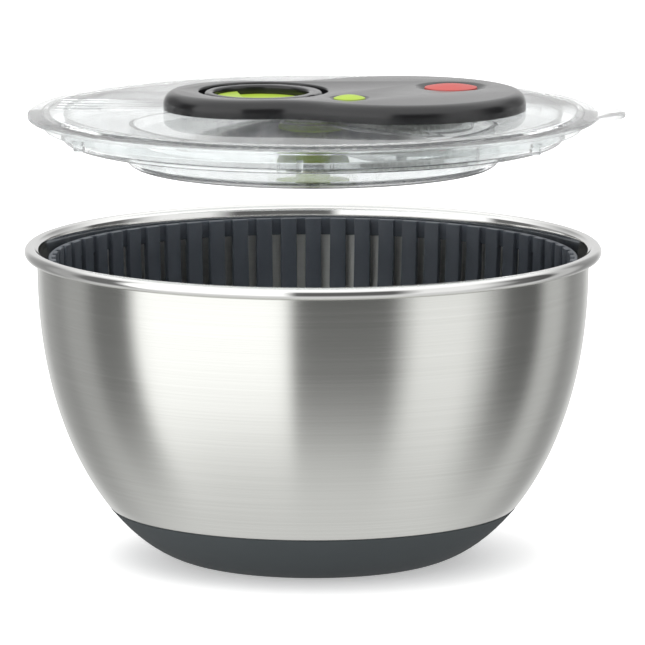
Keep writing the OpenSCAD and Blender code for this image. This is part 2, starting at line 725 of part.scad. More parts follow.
module reel() {
    color("whitesmoke") at_axle() difference() {
        union() {
            translate([0, 0, reel_low]) cylinder(r = reel_flange_r, h = reel_flange_t);
            translate([0, 0, reel_low]) cylinder(r = reel_core_r, h = reel_top - reel_low);
            translate([0, 0, reel_top - reel_flange_t]) cylinder(r = reel_flange_r, h = reel_flange_t);
            for (side = [-1, 1]) translate([side * pawl_pin_x, 0, gear_top + 0.4])
                cylinder(r = pawl_pin_r, h = reel_low - gear_top);
        }
        translate([0, 0, reel_low + reel_flange_t]) cylinder(r = reel_core_r - 1, h = 20);
        translate([0, 0, reel_low - 1]) cylinder(r = axle_r + run_fit, h = 20);
    }
}

module cord_winding() {
    color("whitesmoke") at_axle(reel_low + reel_flange_t + part_gap)
        tube(wind_r, reel_core_r + part_gap, groove_h - 2 * part_gap);
}

// Spiral strip from the axle out to the reel's wall.
module mainspring() {
    turns = 6;
    strip = 0.3;
    steps = turns * 24;
    function spiral_r(i, d) = axle_r + 0.6 + (reel_core_r - 2 - axle_r) * i / steps + d;
    function spiral(i, d) = spiral_r(i, d) * [cos(i * 15), sin(i * 15)];
    inside = [for (i = [0:steps]) spiral(i, 0)];
    outside = [for (i = [steps:-1:0]) spiral(i, strip)];
    color("steelblue") at_axle(reel_low + reel_flange_t + 0.1)
        linear_extrude(height = groove_h - 0.6) polygon(concat(inside, outside));
}

module pawl_shape() {
    color("tomato") translate([0, 0, gear_top + 0.5]) difference() {
        union() {
            translate([pawl_pin_x, 0, 0]) cylinder(r = pawl_pin_r + 1, h = pawl_t);
            translate([pawl_pin_x, 0, 0]) linear_extrude(height = pawl_t)
                polygon([[-2, -0.8], [2.1, 0.2], [3.4, -4.6], [3.2, -7.7], [2.6, -7.6]]);
        }
        translate([pawl_pin_x, 0, -1]) cylinder(r = pawl_pin_r + run_fit, h = 5);
    }
}

module pawl_a() {
    at_axle() pawl_shape();
}

module pawl_b() {
    at_axle() rotate([0, 0, 180]) pawl_shape();
}

// ---- pull ring ----

module pull_ring() {
    color([0.13, 0.13, 0.14]) at_lid(ring_low) difference() {
        translate([-ring_x, 0, 0]) cylinder(r = ring_r, h = ring_t);
        translate([-ring_x - ring_hole_off, 0, -1]) cylinder(r = ring_hole_r, h = ring_t + 2);
        translate([guide_x, 0, -1]) cylinder(r = cord_r + 0.15, h = 4);
        translate([guide_x, 0, knot_z - ring_low - part_gap]) cylinder(r = knot_r + 0.1, h = knot_t + 0.1);
        translate([latch_tip[0], latch_tip[1], latch_low - ring_low - 0.3]) rotate([0, 0, latch_angle])
            translate([-latch_bite - 0.3, -latch_w / 2 - 0.4, 0]) cube([8, latch_w + 0.8, ring_t]);
    }
}

module cord_knot() {
    color("whitesmoke") at_lid(knot_z) translate([guide_x, 0, 0]) cylinder(r = knot_r, h = knot_t);
}

// ---- buttons and latch ----

module dome(r, h) {
    ball_r = (r * r + h * h) / (2 * h);
    intersection() {
        translate([0, 0, h - ball_r]) sphere(r = ball_r);
        translate([0, 0, -eps]) cylinder(r = r, h = h + 1);
    }
}

module brake_button() {
    color("tomato") at_lid() {
        translate([brake_pos[0], brake_pos[1], 0]) {
            translate([0, 0, brake_top - 1.7]) tube(brake_r, brake_r - 1.4, 1.7);
            translate([0, 0, brake_top]) cylinder(r = brake_r, h = 0.8);
            translate([0, 0, brake_top + 0.7]) dome(brake_r, 1.5);
        }
        translate([stem_pos[0], stem_pos[1], pad_low + 1])
            cylinder(r = stem_r, h = brake_top - pad_low - 0.5);
    }
}

module brake_pad() {
    color("dimgray") at_lid(pad_low) translate([stem_pos[0], stem_pos[1], 0]) difference() {
        cylinder(r = pad_r, h = brake_pad_t);
        translate([0, 0, 1 - part_gap]) cylinder(r = stem_r + part_gap, h = 3);
    }
}

module release_button() {
    color("yellowgreen") at_lid() translate([release_pos[0], release_pos[1], 0]) {
        translate([0, 0, housing_h - 0.8]) cylinder(r = release_r, h = 0.6);
        translate([0, 0, housing_h - 0.3]) dome(release_r, 1.6);
        translate([0, 0, release_collar_low]) {
            cylinder(r = release_stem_r, h = housing_h - 0.6 - release_collar_low);
            cylinder(r = release_stem_r + 1.5, h = 0.6);
        }
    }
}

module ring_latch() {
    window = 2 * release_stem_r + latch_travel + 0.8;
    color("darkseagreen") at_lid(latch_low) translate([latch_tip[0], latch_tip[1], 0])
        rotate([0, 0, latch_angle]) difference() {
            translate([-latch_bite, -latch_w / 2, 0]) cube([latch_len + latch_bite + 2.3, latch_w, latch_t]);
            translate([latch_len - window + 1.5, -1.5, -1]) cube([window, 3, latch_t + 2]);
        }
}

bowl_shell();
base_pad();
pivot_foot();
basket();
lid_shell();
housing_cover();
gear_cover();
finger_well();
cord_guide();
cord_run();
cord_tail();
reel_axle();
axle_clip();
spindle_bush();
case_screws();
brake_spring();
release_spring();
basket_cover();
cover_hub();
spindle();
spindle_clip();
spindle_nut();
pinion();
drive_gear();
reel();
cord_winding();
mainspring();
pawl_a();
pawl_b();
pull_ring();
cord_knot();
brake_button();
brake_pad();
release_button();
ring_latch();
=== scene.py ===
# %% [markdown]
# # A salad spinner, piece by piece
# A steel bowl on a non-slip base holds a slotted basket. A clear lid carries a pull ring: its cord
# turns a reel and gears, which spin the basket. The frame is a working model of it, in metres,
# with every piece at its real size and place. This lesson gives each piece its final shape and finish.
# It could be drawn by eye, but a frame that already moves keeps every new piece in step with the
# mechanism, so all places below are measured from it.

# %% Load the frame
import json
import math

import bmesh
import bpy
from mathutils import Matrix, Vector


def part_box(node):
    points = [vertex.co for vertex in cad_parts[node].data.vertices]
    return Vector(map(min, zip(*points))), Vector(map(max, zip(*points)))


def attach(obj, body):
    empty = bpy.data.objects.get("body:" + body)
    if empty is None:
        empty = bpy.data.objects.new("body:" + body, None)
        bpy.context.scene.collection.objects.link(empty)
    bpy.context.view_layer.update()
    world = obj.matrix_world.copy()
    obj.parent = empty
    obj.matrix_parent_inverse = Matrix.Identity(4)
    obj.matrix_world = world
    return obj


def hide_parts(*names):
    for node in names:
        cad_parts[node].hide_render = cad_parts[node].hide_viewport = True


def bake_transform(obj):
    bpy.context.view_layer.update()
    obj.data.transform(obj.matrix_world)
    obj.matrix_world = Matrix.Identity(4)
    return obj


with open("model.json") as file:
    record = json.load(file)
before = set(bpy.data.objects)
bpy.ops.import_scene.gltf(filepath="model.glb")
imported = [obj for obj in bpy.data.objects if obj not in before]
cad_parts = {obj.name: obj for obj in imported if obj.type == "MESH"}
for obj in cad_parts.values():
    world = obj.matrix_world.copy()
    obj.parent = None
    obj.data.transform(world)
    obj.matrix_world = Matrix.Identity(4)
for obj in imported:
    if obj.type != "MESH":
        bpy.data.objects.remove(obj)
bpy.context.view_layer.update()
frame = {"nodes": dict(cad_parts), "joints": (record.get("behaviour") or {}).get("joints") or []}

MM = 0.001
scene = bpy.context.scene

# %% [markdown]
# ## The camera
# Small kitchen goods look right from far away through a long lens, so that ellipses stay true
# and the near rim doesn't swell. A near camera would show more of the inside, but it would also
# bend the proportions. This one stands 3.5 m off, nine degrees above the table.

# %% Camera
CAMERA_DISTANCE = 3.5
CAMERA_RISE = math.radians(9.15)
LENS_MM = 441
AIM = Vector((4.2 * MM, 0, 104.6 * MM))

camera_data = bpy.data.cameras.new("camera")
camera_data.lens = LENS_MM
camera_data.sensor_width = 36
camera_data.clip_end = 50
camera = bpy.data.objects.new("camera", camera_data)
scene.collection.objects.link(camera)
camera.location = AIM + CAMERA_DISTANCE * Vector((0, -math.cos(CAMERA_RISE), math.sin(CAMERA_RISE)))
camera.rotation_euler = (math.pi / 2 - CAMERA_RISE, 0, 0)
scene.camera = camera
scene.view_settings.view_transform = "Standard"
print("camera stands at", tuple(round(c, 3) for c in camera.location))

# %% [markdown]
# ## Shader maths as formulas
# A finish is a small formula: a noise makes a number, the number bends a colour, a roughness or a
# bump. Adding each node by hand hides the formula, so one small class wraps a node's output and lets
# Python's own operators add the Math nodes. Its `node` method adds every other kind of node.

# %% A wire between nodes
def feed(tree, socket, value):
    """Set a socket to a value, or link a wire to it."""
    if isinstance(value, Wire):
        tree.links.new(value.socket, socket)
    else:
        socket.default_value = value


class Wire:
    """One output of a shader node, which Python's own operators work on."""

    def __init__(self, tree, socket=None):
        self.tree = tree
        self.socket = socket

    def node(self, kind, settings=None, inputs=None, output=0):
        """Add a node. Its settings come first, then each input gets a value or a wire."""
        made = self.tree.nodes.new("ShaderNode" + kind)
        for name, value in (settings or {}).items():
            if name == "stops":
                ramp = made.color_ramp
                while len(ramp.elements) < len(value):
                    ramp.elements.new(1.0)
                for stop, (place, level) in zip(ramp.elements, value):
                    stop.position = place
                    stop.color = (level, level, level, 1)
            else:
                setattr(made, name, value)
        for name, value in (inputs or {}).items():
            feed(self.tree, made.inputs[name], value)
        return Wire(self.tree, made.outputs[output])

    def other(self, output):
        """Another output of the same node."""
        return Wire(self.tree, self.socket.node.outputs[output])

    def maths(self, operation, *values):
        return self.node("Math", {"operation": operation}, dict(enumerate(values)))

    def __add__(self, other):
        return self.maths("ADD", self, other)

    def __sub__(self, other):
        return self.maths("SUBTRACT", self, other)

    def __rsub__(self, other):
        return self.maths("SUBTRACT", other, self)

    def __mul__(self, other):
        return self.maths("MULTIPLY", self, other)

    __radd__ = __add__
    __rmul__ = __mul__

    def between(self, low, high):
        """A smooth step from 0 at low to 1 at high."""
        settings = {"interpolation_type": "SMOOTHSTEP"}
        return self.node("MapRange", settings, {"Value": self, "From Min": low, "From Max": high})

    def blend(self, first, second):
        """A colour that goes from first to second as this value goes from 0 to 1."""
        return self.node("Mix", {"data_type": "RGBA"}, {0: self, 6: first, 7: second}, 2)


print("shader helpers are ready")

# %% [markdown]
# ## The studio
# Polished and brushed steel have almost no colour of their own: what one sees is the room. Real
# lamps could be placed around the bowl, but a steel bowl shows each as a hard patch. So the room
# itself is painted: tall white panels and dark gaps around the table, by compass direction, a bright
# ceiling, and a pale ground. The camera, and light that has been through clear plastic, see plain
# white.

# %% The room's light
PANELS = [
    (-180, 0.78), (-165, 0.78), (-152, 0.42), (-134, 0.30), (-124, 0.42), (-112, 0.42), (-104, 0.17),
    (-85, 0.17), (-78, 1.4), (-12, 1.4), (-7, 0.13), (33, 0.13), (45, 1.0), (68, 1.0), (76, 0.76),
    (90, 0.16), (108, 0.09), (115, 0.58), (126, 0.58), (137, 0.28), (155, 0.42), (165, 0.78), (180, 0.78),
]
CEILING = 1.25
GROUND = 0.75

world = bpy.data.worlds.new("studio")
scene.world = world
world.use_nodes = True
world.node_tree.nodes.clear()
room = Wire(world.node_tree)
direction = room.node("TexCoord", output="Generated")
axes = room.node("SeparateXYZ", {}, {"Vector": direction})
height = axes.other("Z")
compass = room.maths("ARCTAN2", axes, axes.other("Y") * -1)
turn = compass * (1 / math.tau) + 0.5
stops = [((angle + 180) / 360, level / 2) for angle, level in PANELS]
walls = room.node("ValToRGB", {"stops": stops}, {"Fac": turn}) * 2
overhead = height.between(0.35, 0.75)
underfoot = (height * -1).between(0.35, 0.85)
light = walls * (1 - overhead) * (1 - underfoot) + overhead * CEILING + underfoot * GROUND
path = room.node("LightPath", output="Is Camera Ray")
seen_plain = path.maths("MAXIMUM", path, path.maths("MINIMUM", path.other("Transmission Depth"), 1.0))
level = light * (1 - seen_plain) + seen_plain * 1.0
backdrop = room.node("Background", {}, {"Color": (1, 1, 1, 1), "Strength": level})
output = world.node_tree.nodes.new("ShaderNodeOutputWorld")
world.node_tree.links.new(backdrop.socket, output.inputs["Surface"])
print("studio panels:", len(PANELS))

# %% [markdown]
# The table top is a pale, plain surface that runs far back. It catches the soft contact shadow under
# the base, and glows a little, as a light table does, so that the shadow stays faint. Steel doesn't
# mirror it, because a studio's paper sweep curves up behind the bowl.

# %% Floor
bpy.ops.object.select_all(action="DESELECT")
bpy.ops.mesh.primitive_plane_add(size=12)
floor = bpy.context.object
floor.name = "floor"
floor.visible_glossy = False
floor_paint = bpy.data.materials.new("pale floor")
floor_paint.use_nodes = True
floor_shader = floor_paint.node_tree.nodes["Principled BSDF"]
floor_shader.inputs["Base Color"].default_value = (0.93, 0.93, 0.93, 1)
floor_shader.inputs["Roughness"].default_value = 0.9
floor_shader.inputs["Emission Color"].default_value = (1, 1, 1, 1)
floor_shader.inputs["Emission Strength"].default_value = 0.42
floor.data.materials.append(floor_paint)

lamp_data = bpy.data.lights.new("overhead softbox", "AREA")
lamp_data.size = 2.4
lamp_data.energy = 34
lamp = bpy.data.objects.new("overhead softbox", lamp_data)
lamp.location = (-0.4, -0.3, 2.6)
lamp.visible_glossy = False
lamp.visible_transmission = False
scene.collection.objects.link(lamp)
print("floor and softbox are in place")

# %% [markdown]
# ## Finishes
# Every finish starts the same way: a Principled shader, and the place on the piece in metres, so a
# grain has the same real size everywhere. Image textures would need files and seams; a noise doesn't.

# %% A new finish
def finish(name, constants):
    """Start a material. Returns it with its shader and the place on the piece as a wire."""
    material = bpy.data.materials.new(name)
    material.use_nodes = True
    shader = material.node_tree.nodes["Principled BSDF"]
    for socket, value in constants.items():
        shader.inputs[socket].default_value = value
    place = Wire(material.node_tree).node("TexCoord", output="Object")
    return material, shader, place


def drive(shader, place, links):
    """Link what changes over the surface to the shader's sockets."""
    for socket, value in links.items():
        feed(place.tree, shader.inputs[socket], value)


def grain(place, scale, detail=2.0, stretch=(1, 1, 1)):
    """A noise whose cells are 1/scale metres, longer along an axis where stretch is under 1."""
    sized = place.node("Mapping", {}, {"Vector": place, "Scale": stretch})
    return place.node("TexNoise", {}, {"Vector": sized, "Scale": scale, "Detail": detail}, "Fac")


def bump(place, height, strength, depth):
    """A normal that follows a height, where depth is the height of a full step in metres."""
    return place.node("Bump", {}, {"Height": height, "Strength": strength, "Distance": depth}, "Normal")


print("finish helpers are ready")

# %% [markdown]
# ### Steel
# The bowl is spun from sheet. Outside, a brush has run round it: thousands of fine level scratches
# that smear every reflection up and down, never sideways. The shader's anisotropy does the smearing,
# and a noise that is long around the bowl and short in height draws the scratches themselves.
# Inside, the brush is coarser, so the steel there is satin. The rim is polished, with only a faint
# waviness left by the spinning tool.

# %% Brushed and polished steel
def brushed_steel(name, smear, rough):
    material, shader, place = finish(name, {
        "Metallic": 1.0, "Anisotropic": smear, "Anisotropic Rotation": 0.25,
    })
    lines = grain(place, 1.0, 3.0, (6, 6, 3000))
    broad = grain(place, 1.0, 2.0, (3, 3, 420))
    cloud = grain(place, 9, 1.0)
    wear = lines * 0.75 + broad * 0.25
    drive(shader, place, {
        "Base Color": wear.blend((0.68, 0.685, 0.65, 1), (0.84, 0.845, 0.815, 1)),
        "Roughness": wear * 0.08 + cloud * 0.04 + rough,
        "Normal": bump(place, wear, 0.12, 0.00006),
    })
    return material


def polished_steel():
    material, shader, place = finish("polished steel", {"Metallic": 1.0})
    waves = grain(place, 1.0, 1.0, (16, 16, 70))
    scuffs = grain(place, 1.0, 2.0, (40, 40, 900))
    drive(shader, place, {
        "Base Color": scuffs.blend((0.78, 0.78, 0.765, 1), (0.86, 0.86, 0.845, 1)),
        "Roughness": scuffs * 0.05 + 0.06,
        "Normal": bump(place, waves, 0.10, 0.0006),
    })
    return material


steel_brushed = brushed_steel("brushed steel", 0.85, 0.18)
steel_satin = brushed_steel("satin steel", 0.5, 0.40)
steel_polished = polished_steel()
print("made", steel_brushed.name + ",", steel_satin.name, "and", steel_polished.name)

# %% [markdown]
# ### Plastics
# Moulded plastic shows how its mould was cut. The basket's mould is sparked, which leaves a fine
# even grain; the housing's and the buttons' are polished, so only a long, faint unevenness is left.
# One recipe with different numbers covers them all: a fine grain, a slow unevenness and a colour
# that drifts a little with both.

# %% Moulded plastic
def plastic(name, dark, light, rough, rough_drift, grain_size, grain_depth, constants=None):
    """Colour from dark to light, roughness with its drift, grain size and depth in metres."""
    material, shader, place = finish(name, constants or {})
    fine = grain(place, 1 / grain_size, 2.0)
    slow = grain(place, 55, 2.0)
    drive(shader, place, {
        "Base Color": (fine * 0.4 + slow * 0.6).blend((*dark, 1), (*light, 1)),
        "Roughness": slow * rough_drift + fine * rough_drift * 0.5 + rough,
        "Normal": bump(place, fine * 0.8 + slow * 2, 0.5, grain_depth),
    })
    return material


basket_grey = plastic("grained anthracite", (0.046, 0.054, 0.066), (0.080, 0.092, 0.110), 0.34, 0.16,
                      0.0007, 0.00010)
base_rubber = plastic("soft base rubber", (0.034, 0.041, 0.044), (0.050, 0.058, 0.062), 0.62, 0.16,
                      0.0005, 0.00006, {"Specular IOR Level": 0.28})
gloss_black = plastic("polished black", (0.007, 0.007, 0.008), (0.014, 0.014, 0.015), 0.13, 0.10,
                      0.0011, 0.00001, {"Coat Weight": 0.25, "Coat Roughness": 0.08})
leaf_green = plastic("leaf green", (0.33, 0.47, 0.025), (0.40, 0.56, 0.045), 0.30, 0.14,
                     0.0009, 0.00001)
signal_red = plastic("signal red", (0.44, 0.045, 0.038), (0.54, 0.070, 0.058), 0.30, 0.14,
                     0.0009, 0.00001)
acetal_white = plastic("white acetal", (0.74, 0.74, 0.70), (0.84, 0.84, 0.81), 0.38, 0.14,
                       0.0009, 0.00002)
print("moulded plastics: 6")

# %% [markdown]
# ### Clear plastic
# The lid, the basket cover and the gear cover are clear. Thin clear walls can be faked with a
# see-through shader, but then their edges stay grey and dead. With refraction alone, light is
# trapped in the lip and skirt, and they turn black. So the walls are true closed solids, and their
# finish is part refraction and part straight view. Clear walls cast no shadow: they'd only dim the
# bowl, because a renderer's lamps don't shine through refraction.

# %% Clear plastic
def clear_plastic():
    material, shader, place = finish("clear plastic", {
        "Transmission Weight": 1.0, "IOR": 1.22, "Alpha": 0.88,
    })
    flow = grain(place, 24, 1.0)
    haze = grain(place, 160, 2.0)
    drive(shader, place, {
        "Base Color": haze.blend((0.93, 0.95, 0.95, 1), (0.97, 0.985, 0.985, 1)),
        "Roughness": haze * 0.04 + 0.01,
        "Normal": bump(place, flow, 0.05, 0.0005),
    })
    return material


clear = clear_plastic()
print("made", clear.name)

# %% [markdown]
# ### Small metal parts and the cord
# The axle, spindle and screws are zinc plated, the springs are drawn wire, and the bush is sintered
# bronze. The cord is a braid: strands that cross each other around it, so its pattern follows the
# cord's own radius and height.

# %% Metals and the cord
def metal(name, dark, light, rough):
    material, shader, place = finish(name, {"Metallic": 1.0})
    turned = grain(place, 1.0, 2.0, (300, 300, 2600))
    drive(shader, place, {
        "Base Color": turned.blend((*dark, 1), (*light, 1)),
        "Roughness": turned * 0.16 + rough,
        "Normal": bump(place, turned, 0.2, 0.00002),
    })
    return material


def braided_cord():
    material, shader, place = finish("braided cord", {"Sheen Weight": 0.3})
    strands = place.node("TexWave", {"bands_direction": "Z"}, {
        "Vector": place, "Scale": 160.0, "Distortion": 3.0, "Detail": 2.0, "Detail Scale": 4.0,
    }, "Fac")
    drive(shader, place, {
        "Base Color": strands.blend((0.62, 0.62, 0.58, 1), (0.88, 0.88, 0.85, 1)),
        "Roughness": strands * 0.15 + 0.7,
        "Normal": bump(place, strands, 0.6, 0.0003),
    })
    return material


zinc = metal("zinc plate", (0.50, 0.50, 0.49), (0.70, 0.70, 0.69), 0.22)
wire_steel = metal("drawn wire", (0.36, 0.37, 0.39), (0.52, 0.53, 0.56), 0.20)
bronze = metal("sintered bronze", (0.48, 0.31, 0.13), (0.66, 0.46, 0.22), 0.34)
cord = braided_cord()
print("metals and cord: 4")

# %% [markdown]
# ## Shaping in code
# Nearly every piece is turned or moulded around an axis. So the main tool is a lathe: a line is drawn
# point by point, each point pulled out of the last one, and spun once around. Corners are written
# as sharp points with a radius, and a helper turns each into an arc, as a drawing office would.

# %% Drawing and turning
def choose_only(piece):
    """Make a piece the only selected and active one."""
    if bpy.context.object and bpy.context.object.mode != "OBJECT":
        bpy.ops.object.mode_set(mode="OBJECT")
    bpy.ops.object.select_all(action="DESELECT")
    if piece:
        piece.select_set(True)
        bpy.context.view_layer.objects.active = piece


def trace(name, points):
    """Draw a line through points, each extruded from the one before."""
    choose_only(None)
    bpy.ops.mesh.primitive_plane_add(size=MM)
    piece = bpy.context.object
    piece.name = name
    bpy.ops.object.mode_set(mode="EDIT")
    bpy.ops.mesh.select_mode(type="VERT")
    bpy.ops.mesh.select_all(action="SELECT")
    bpy.ops.mesh.merge(type="CENTER")
    bpy.ops.transform.translate(value=points[0])
    for before, after in zip(points, points[1:]):
        step = Vector(after) - Vector(before)
        bpy.ops.mesh.extrude_region_move(TRANSFORM_OT_translate={"value": step})
    bpy.ops.mesh.select_all(action="SELECT")
    bpy.ops.mesh.remove_doubles(threshold=0.002 * MM)
    return piece


def lathe(name, outline, steps=160):
    """Turn an outline of (radius, height) points in metres once around the Z axis."""
    piece = trace(name, [(r, 0, z) for r, z in outline])
    bpy.ops.mesh.spin(steps=steps, angle=math.tau, center=(0, 0, 0), axis=(0, 0, 1))
    bpy.ops.mesh.select_all(action="SELECT")
    bpy.ops.mesh.remove_doubles(threshold=0.002 * MM)
    bpy.ops.mesh.normals_make_consistent(inside=False)
    bpy.ops.object.mode_set(mode="OBJECT")
    return piece


def rounded(corners, base=0.0, steps=4):
    """A closed outline from (radius, height, corner radius) in mm, as metres above base."""
    points = []
    count = len(corners)
    for i, (r, z, size) in enumerate(corners):
        here = Vector((r, z))
        if size == 0:
            points.append(here)
            continue
        back = (Vector(corners[i - 1][:2]) - here).normalized()
        ahead = (Vector(corners[(i + 1) % count][:2]) - here).normalized()
        half = back.angle(ahead) / 2
        reach = size / math.tan(half)
        centre = here + (back + ahead).normalized() * size / math.sin(half)
        start = here + back * reach - centre
        end = here + ahead * reach - centre
        for k in range(steps + 1):
            points.append(centre + start.lerp(end, k / steps).normalized() * size)
    points.append(points[0])
    return [(p.x * MM, base + p.y * MM) for p in points]


print("lathe is ready")

# %% [markdown]
# Holes, slots and pockets are cut with a cutter piece, as a drill or a mill would, and lugs and
# bosses are joined on the same way. Sharp edges catch no light, so each gets a small rounding: a
# bevel of all edges sharper than an angle, or of just the edges picked by their place.

# %% Cutting, joining and rounding
def settle(piece):
    """Leave the object at the origin, with its place in its mesh."""
    choose_only(piece)
    bpy.ops.object.transform_apply(location=True, rotation=True, scale=True)
    return piece


def block(name, low, high, turned=0.0, at=(0, 0)):
    """A box between two corners in metres, turned about the upright axis and then moved."""
    choose_only(None)
    size = Vector(high) - Vector(low)
    bpy.ops.mesh.primitive_cube_add(size=1, location=(Vector(low) + Vector(high)) / 2, scale=size)
    piece = settle(bpy.context.object)
    piece.name = name
    piece.rotation_euler.z = turned
    piece.location = (*at, 0)
    return settle(piece)


def peg(name, radius, low, high, at=(0, 0), top_radius=None, sides=96):
    """A round peg or a cone between two heights."""
    choose_only(None)
    bpy.ops.mesh.primitive_cone_add(
        vertices=sides, radius1=radius, radius2=radius if top_radius is None else top_radius,
        depth=high - low, location=(*at, (low + high) / 2))
    piece = bpy.context.object
    piece.name = name
    return settle(piece)


def apply_modifier(piece, kind, settings):
    """Add a modifier, set it and make its result the mesh."""
    modifier = piece.modifiers.new(kind.lower(), kind)
    for name, value in settings.items():
        setattr(modifier, name, value)
    choose_only(piece)
    bpy.ops.object.modifier_apply(modifier=modifier.name)
    return piece


def combine(piece, operation, *tools):
    """Cut a piece with tools, or join tools to it, and remove the tools."""
    for tool in tools:
        apply_modifier(piece, "BOOLEAN", {"operation": operation, "object": tool, "solver": "EXACT"})
        bpy.data.objects.remove(tool)
    return piece


def merge_pieces(name, *pieces):
    """Make several loose shells one object."""
    choose_only(pieces[0])
    for piece in pieces[1:]:
        piece.select_set(True)
    bpy.ops.object.join()
    pieces[0].name = name
    return pieces[0]


def soften(piece, width, segments=2, angle=35):
    """Round every edge that is sharper than an angle."""
    return apply_modifier(piece, "BEVEL", {
        "width": width, "segments": segments, "limit_method": "ANGLE", "angle_limit": math.radians(angle),
    })


def pick(piece, kind, wanted):
    """In edit mode, select the vertices, edges or faces whose corners all pass a test."""
    choose_only(piece)
    bpy.ops.object.mode_set(mode="EDIT")
    bpy.ops.mesh.select_mode(type=kind)
    bpy.ops.mesh.select_all(action="DESELECT")
    shape = bmesh.from_edit_mesh(piece.data)
    if kind == "VERT":
        chosen = [v for v in shape.verts if wanted(v.co)]
    else:
        items = shape.edges if kind == "EDGE" else shape.faces
        chosen = [item for item in items if all(wanted(v.co) for v in item.verts)]
    for item in chosen:
        item.select_set(True)
    bmesh.update_edit_mesh(piece.data)
    return len(chosen)


def round_edges(piece, wanted, width, segments=3):
    """Round just the edges whose ends pass a test."""
    count = pick(piece, "EDGE", wanted)
    bpy.ops.mesh.bevel(offset=width, segments=segments, affect="EDGES", clamp_overlap=True)
    bpy.ops.object.mode_set(mode="OBJECT")
    return count


def copies_around(piece, count):
    """Repeat a piece around the upright axis, inside one object."""
    choose_only(piece)
    bpy.ops.object.mode_set(mode="EDIT")
    bpy.ops.mesh.select_all(action="SELECT")
    bpy.ops.mesh.spin(steps=count - 1, angle=math.tau * (count - 1) / count, dupli=True,
                      center=(0, 0, 0), axis=(0, 0, 1))
    bpy.ops.object.mode_set(mode="OBJECT")
    return piece


def fill_outline(name, points, low, high):
    """A flat plate of any outline between two heights."""
    piece = trace(name, [(x, y, low) for x, y in points + points[:1]])
    bpy.ops.mesh.edge_face_add()
    bpy.ops.mesh.extrude_region_move(TRANSFORM_OT_translate={"value": (0, 0, high - low)})
    bpy.ops.mesh.select_all(action="SELECT")
    bpy.ops.mesh.normals_make_consistent(inside=False)
    bpy.ops.object.mode_set(mode="OBJECT")
    return piece


def deliver(piece, material, body, slot, *nodes, smooth=35):
    """Shade a piece, give it its finish and its body, and hide the plain nodes it stands for."""
    choose_only(piece)
    bpy.ops.object.shade_smooth_by_angle(angle=math.radians(smooth))
    if not piece.data.materials:
        piece.data.materials.append(material)
    if body:
        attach(piece, body)
    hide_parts(*nodes)
    print(piece.name, "has", len(piece.data.polygons), "faces")
    return piece


print("shaping helpers are ready")

# %% [markdown]
# ## Measures from the frame
# The frame's boxes give the heights and radii that all pieces share. Heights on the lid are counted
# in millimetres from its flat top, because the lid moves as a whole.

# %% Shared measures
rim_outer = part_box("bowl_shell")[1][0]
rim_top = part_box("bowl_shell")[1][2]
pad_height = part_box("base_pad")[1][2]
lid_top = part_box("lid_shell")[1][2]


def on_lid(z):
    """The height in metres of a place z mm above the lid's flat top."""
    return lid_top + z * MM


basket_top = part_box("basket")[1][2]
axle_x = sum(corner[0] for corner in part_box("reel_axle")) / 2
RIM_ROLL = 2.75
ROLL_OUT = 2.9
wall_r = rim_outer / MM - RIM_ROLL - ROLL_OUT
rim_z = rim_top / MM - RIM_ROLL
print("wall radius", round(wall_r, 2), "mm, lid top", round(lid_top / MM, 2), "mm")

# %% [markdown]
# ## The bowl
# The bowl's outline is one curve: flat at the bottom, turning up ever more steeply into a nearly
# upright wall. A few points with rounded corners would show as facets in polished metal, so the
# curve is a formula that gives as many points as the reflection needs. The sheet is 0.8 mm thick,
# and its edge is rolled outwards into a bead, which the outline follows as most of a circle.

# %% Bowl curve
FOOT_R = 54
SHEET = 0.8
STRAIGHT = 3
PAD_BOTTOM = 2
PAD_EDGE = 0.3


def body_radius(z):
    """Radius of the bowl's outer face at a height in mm."""
    tall = rim_z - STRAIGHT
    return wall_r if z >= tall else FOOT_R + (wall_r - FOOT_R) * (1 - (1 - z / tall) ** 2.2) ** (1 / 1.7)


def inset_point(z, depth):
    """The point a given depth inside the outer face, square to the curve."""
    slope = (body_radius(z + 0.01) - body_radius(max(0, z - 0.01))) / (0.02 if z > 0.01 else z + 0.01)
    length = math.sqrt(1 + slope * slope)
    return body_radius(z) - depth / length, z + depth * slope / length


def inset_radius(z, depth):
    """Radius at a height of a wall that lies a given depth inside the outer face."""
    r, _ = inset_point(z, 1)
    lean = body_radius(z) - r
    return body_radius(z) - depth / lean


def skin_depth(z):
    """Thickness of the rubber over the steel at a height."""
    share = min(1, z / (pad_height / MM))
    return 0 if share == 1 else PAD_EDGE + (PAD_BOTTOM - PAD_EDGE) * (1 - share)


levels = [rim_z * (i / 44) ** 1.5 for i in range(1, 44)]
print("bowl curve:", [round(body_radius(z), 1) for z in (5, 20, 60, 100, 134)])

# %% Bowl
roll_r = wall_r + ROLL_OUT
outside = [inset_point(z, skin_depth(z)) for z in levels if z < rim_z - 2]
inside = [inset_point(z, skin_depth(z) + SHEET) for z in levels if z < rim_z - 2]
bead = [(roll_r + RIM_ROLL * math.cos(math.radians(a)), rim_z + RIM_ROLL * math.sin(math.radians(a)))
        for a in range(205, 515, 10)]
outline = [(0, PAD_BOTTOM), (FOOT_R - 6, PAD_BOTTOM)] + outside + [(wall_r, rim_z - 1.6)] + bead
outline += [(wall_r - SHEET + 0.35, rim_z + 0.9), (wall_r - SHEET, rim_z - 0.6)] + inside[::-1]
outline += [(FOOT_R - 6, PAD_BOTTOM + SHEET), (0, PAD_BOTTOM + SHEET)]
bowl = lathe("bowl", [(r * MM, z * MM) for r, z in outline], 224)
bowl.data.materials.append(steel_brushed)
bowl.data.materials.append(steel_satin)
bowl.data.materials.append(steel_polished)


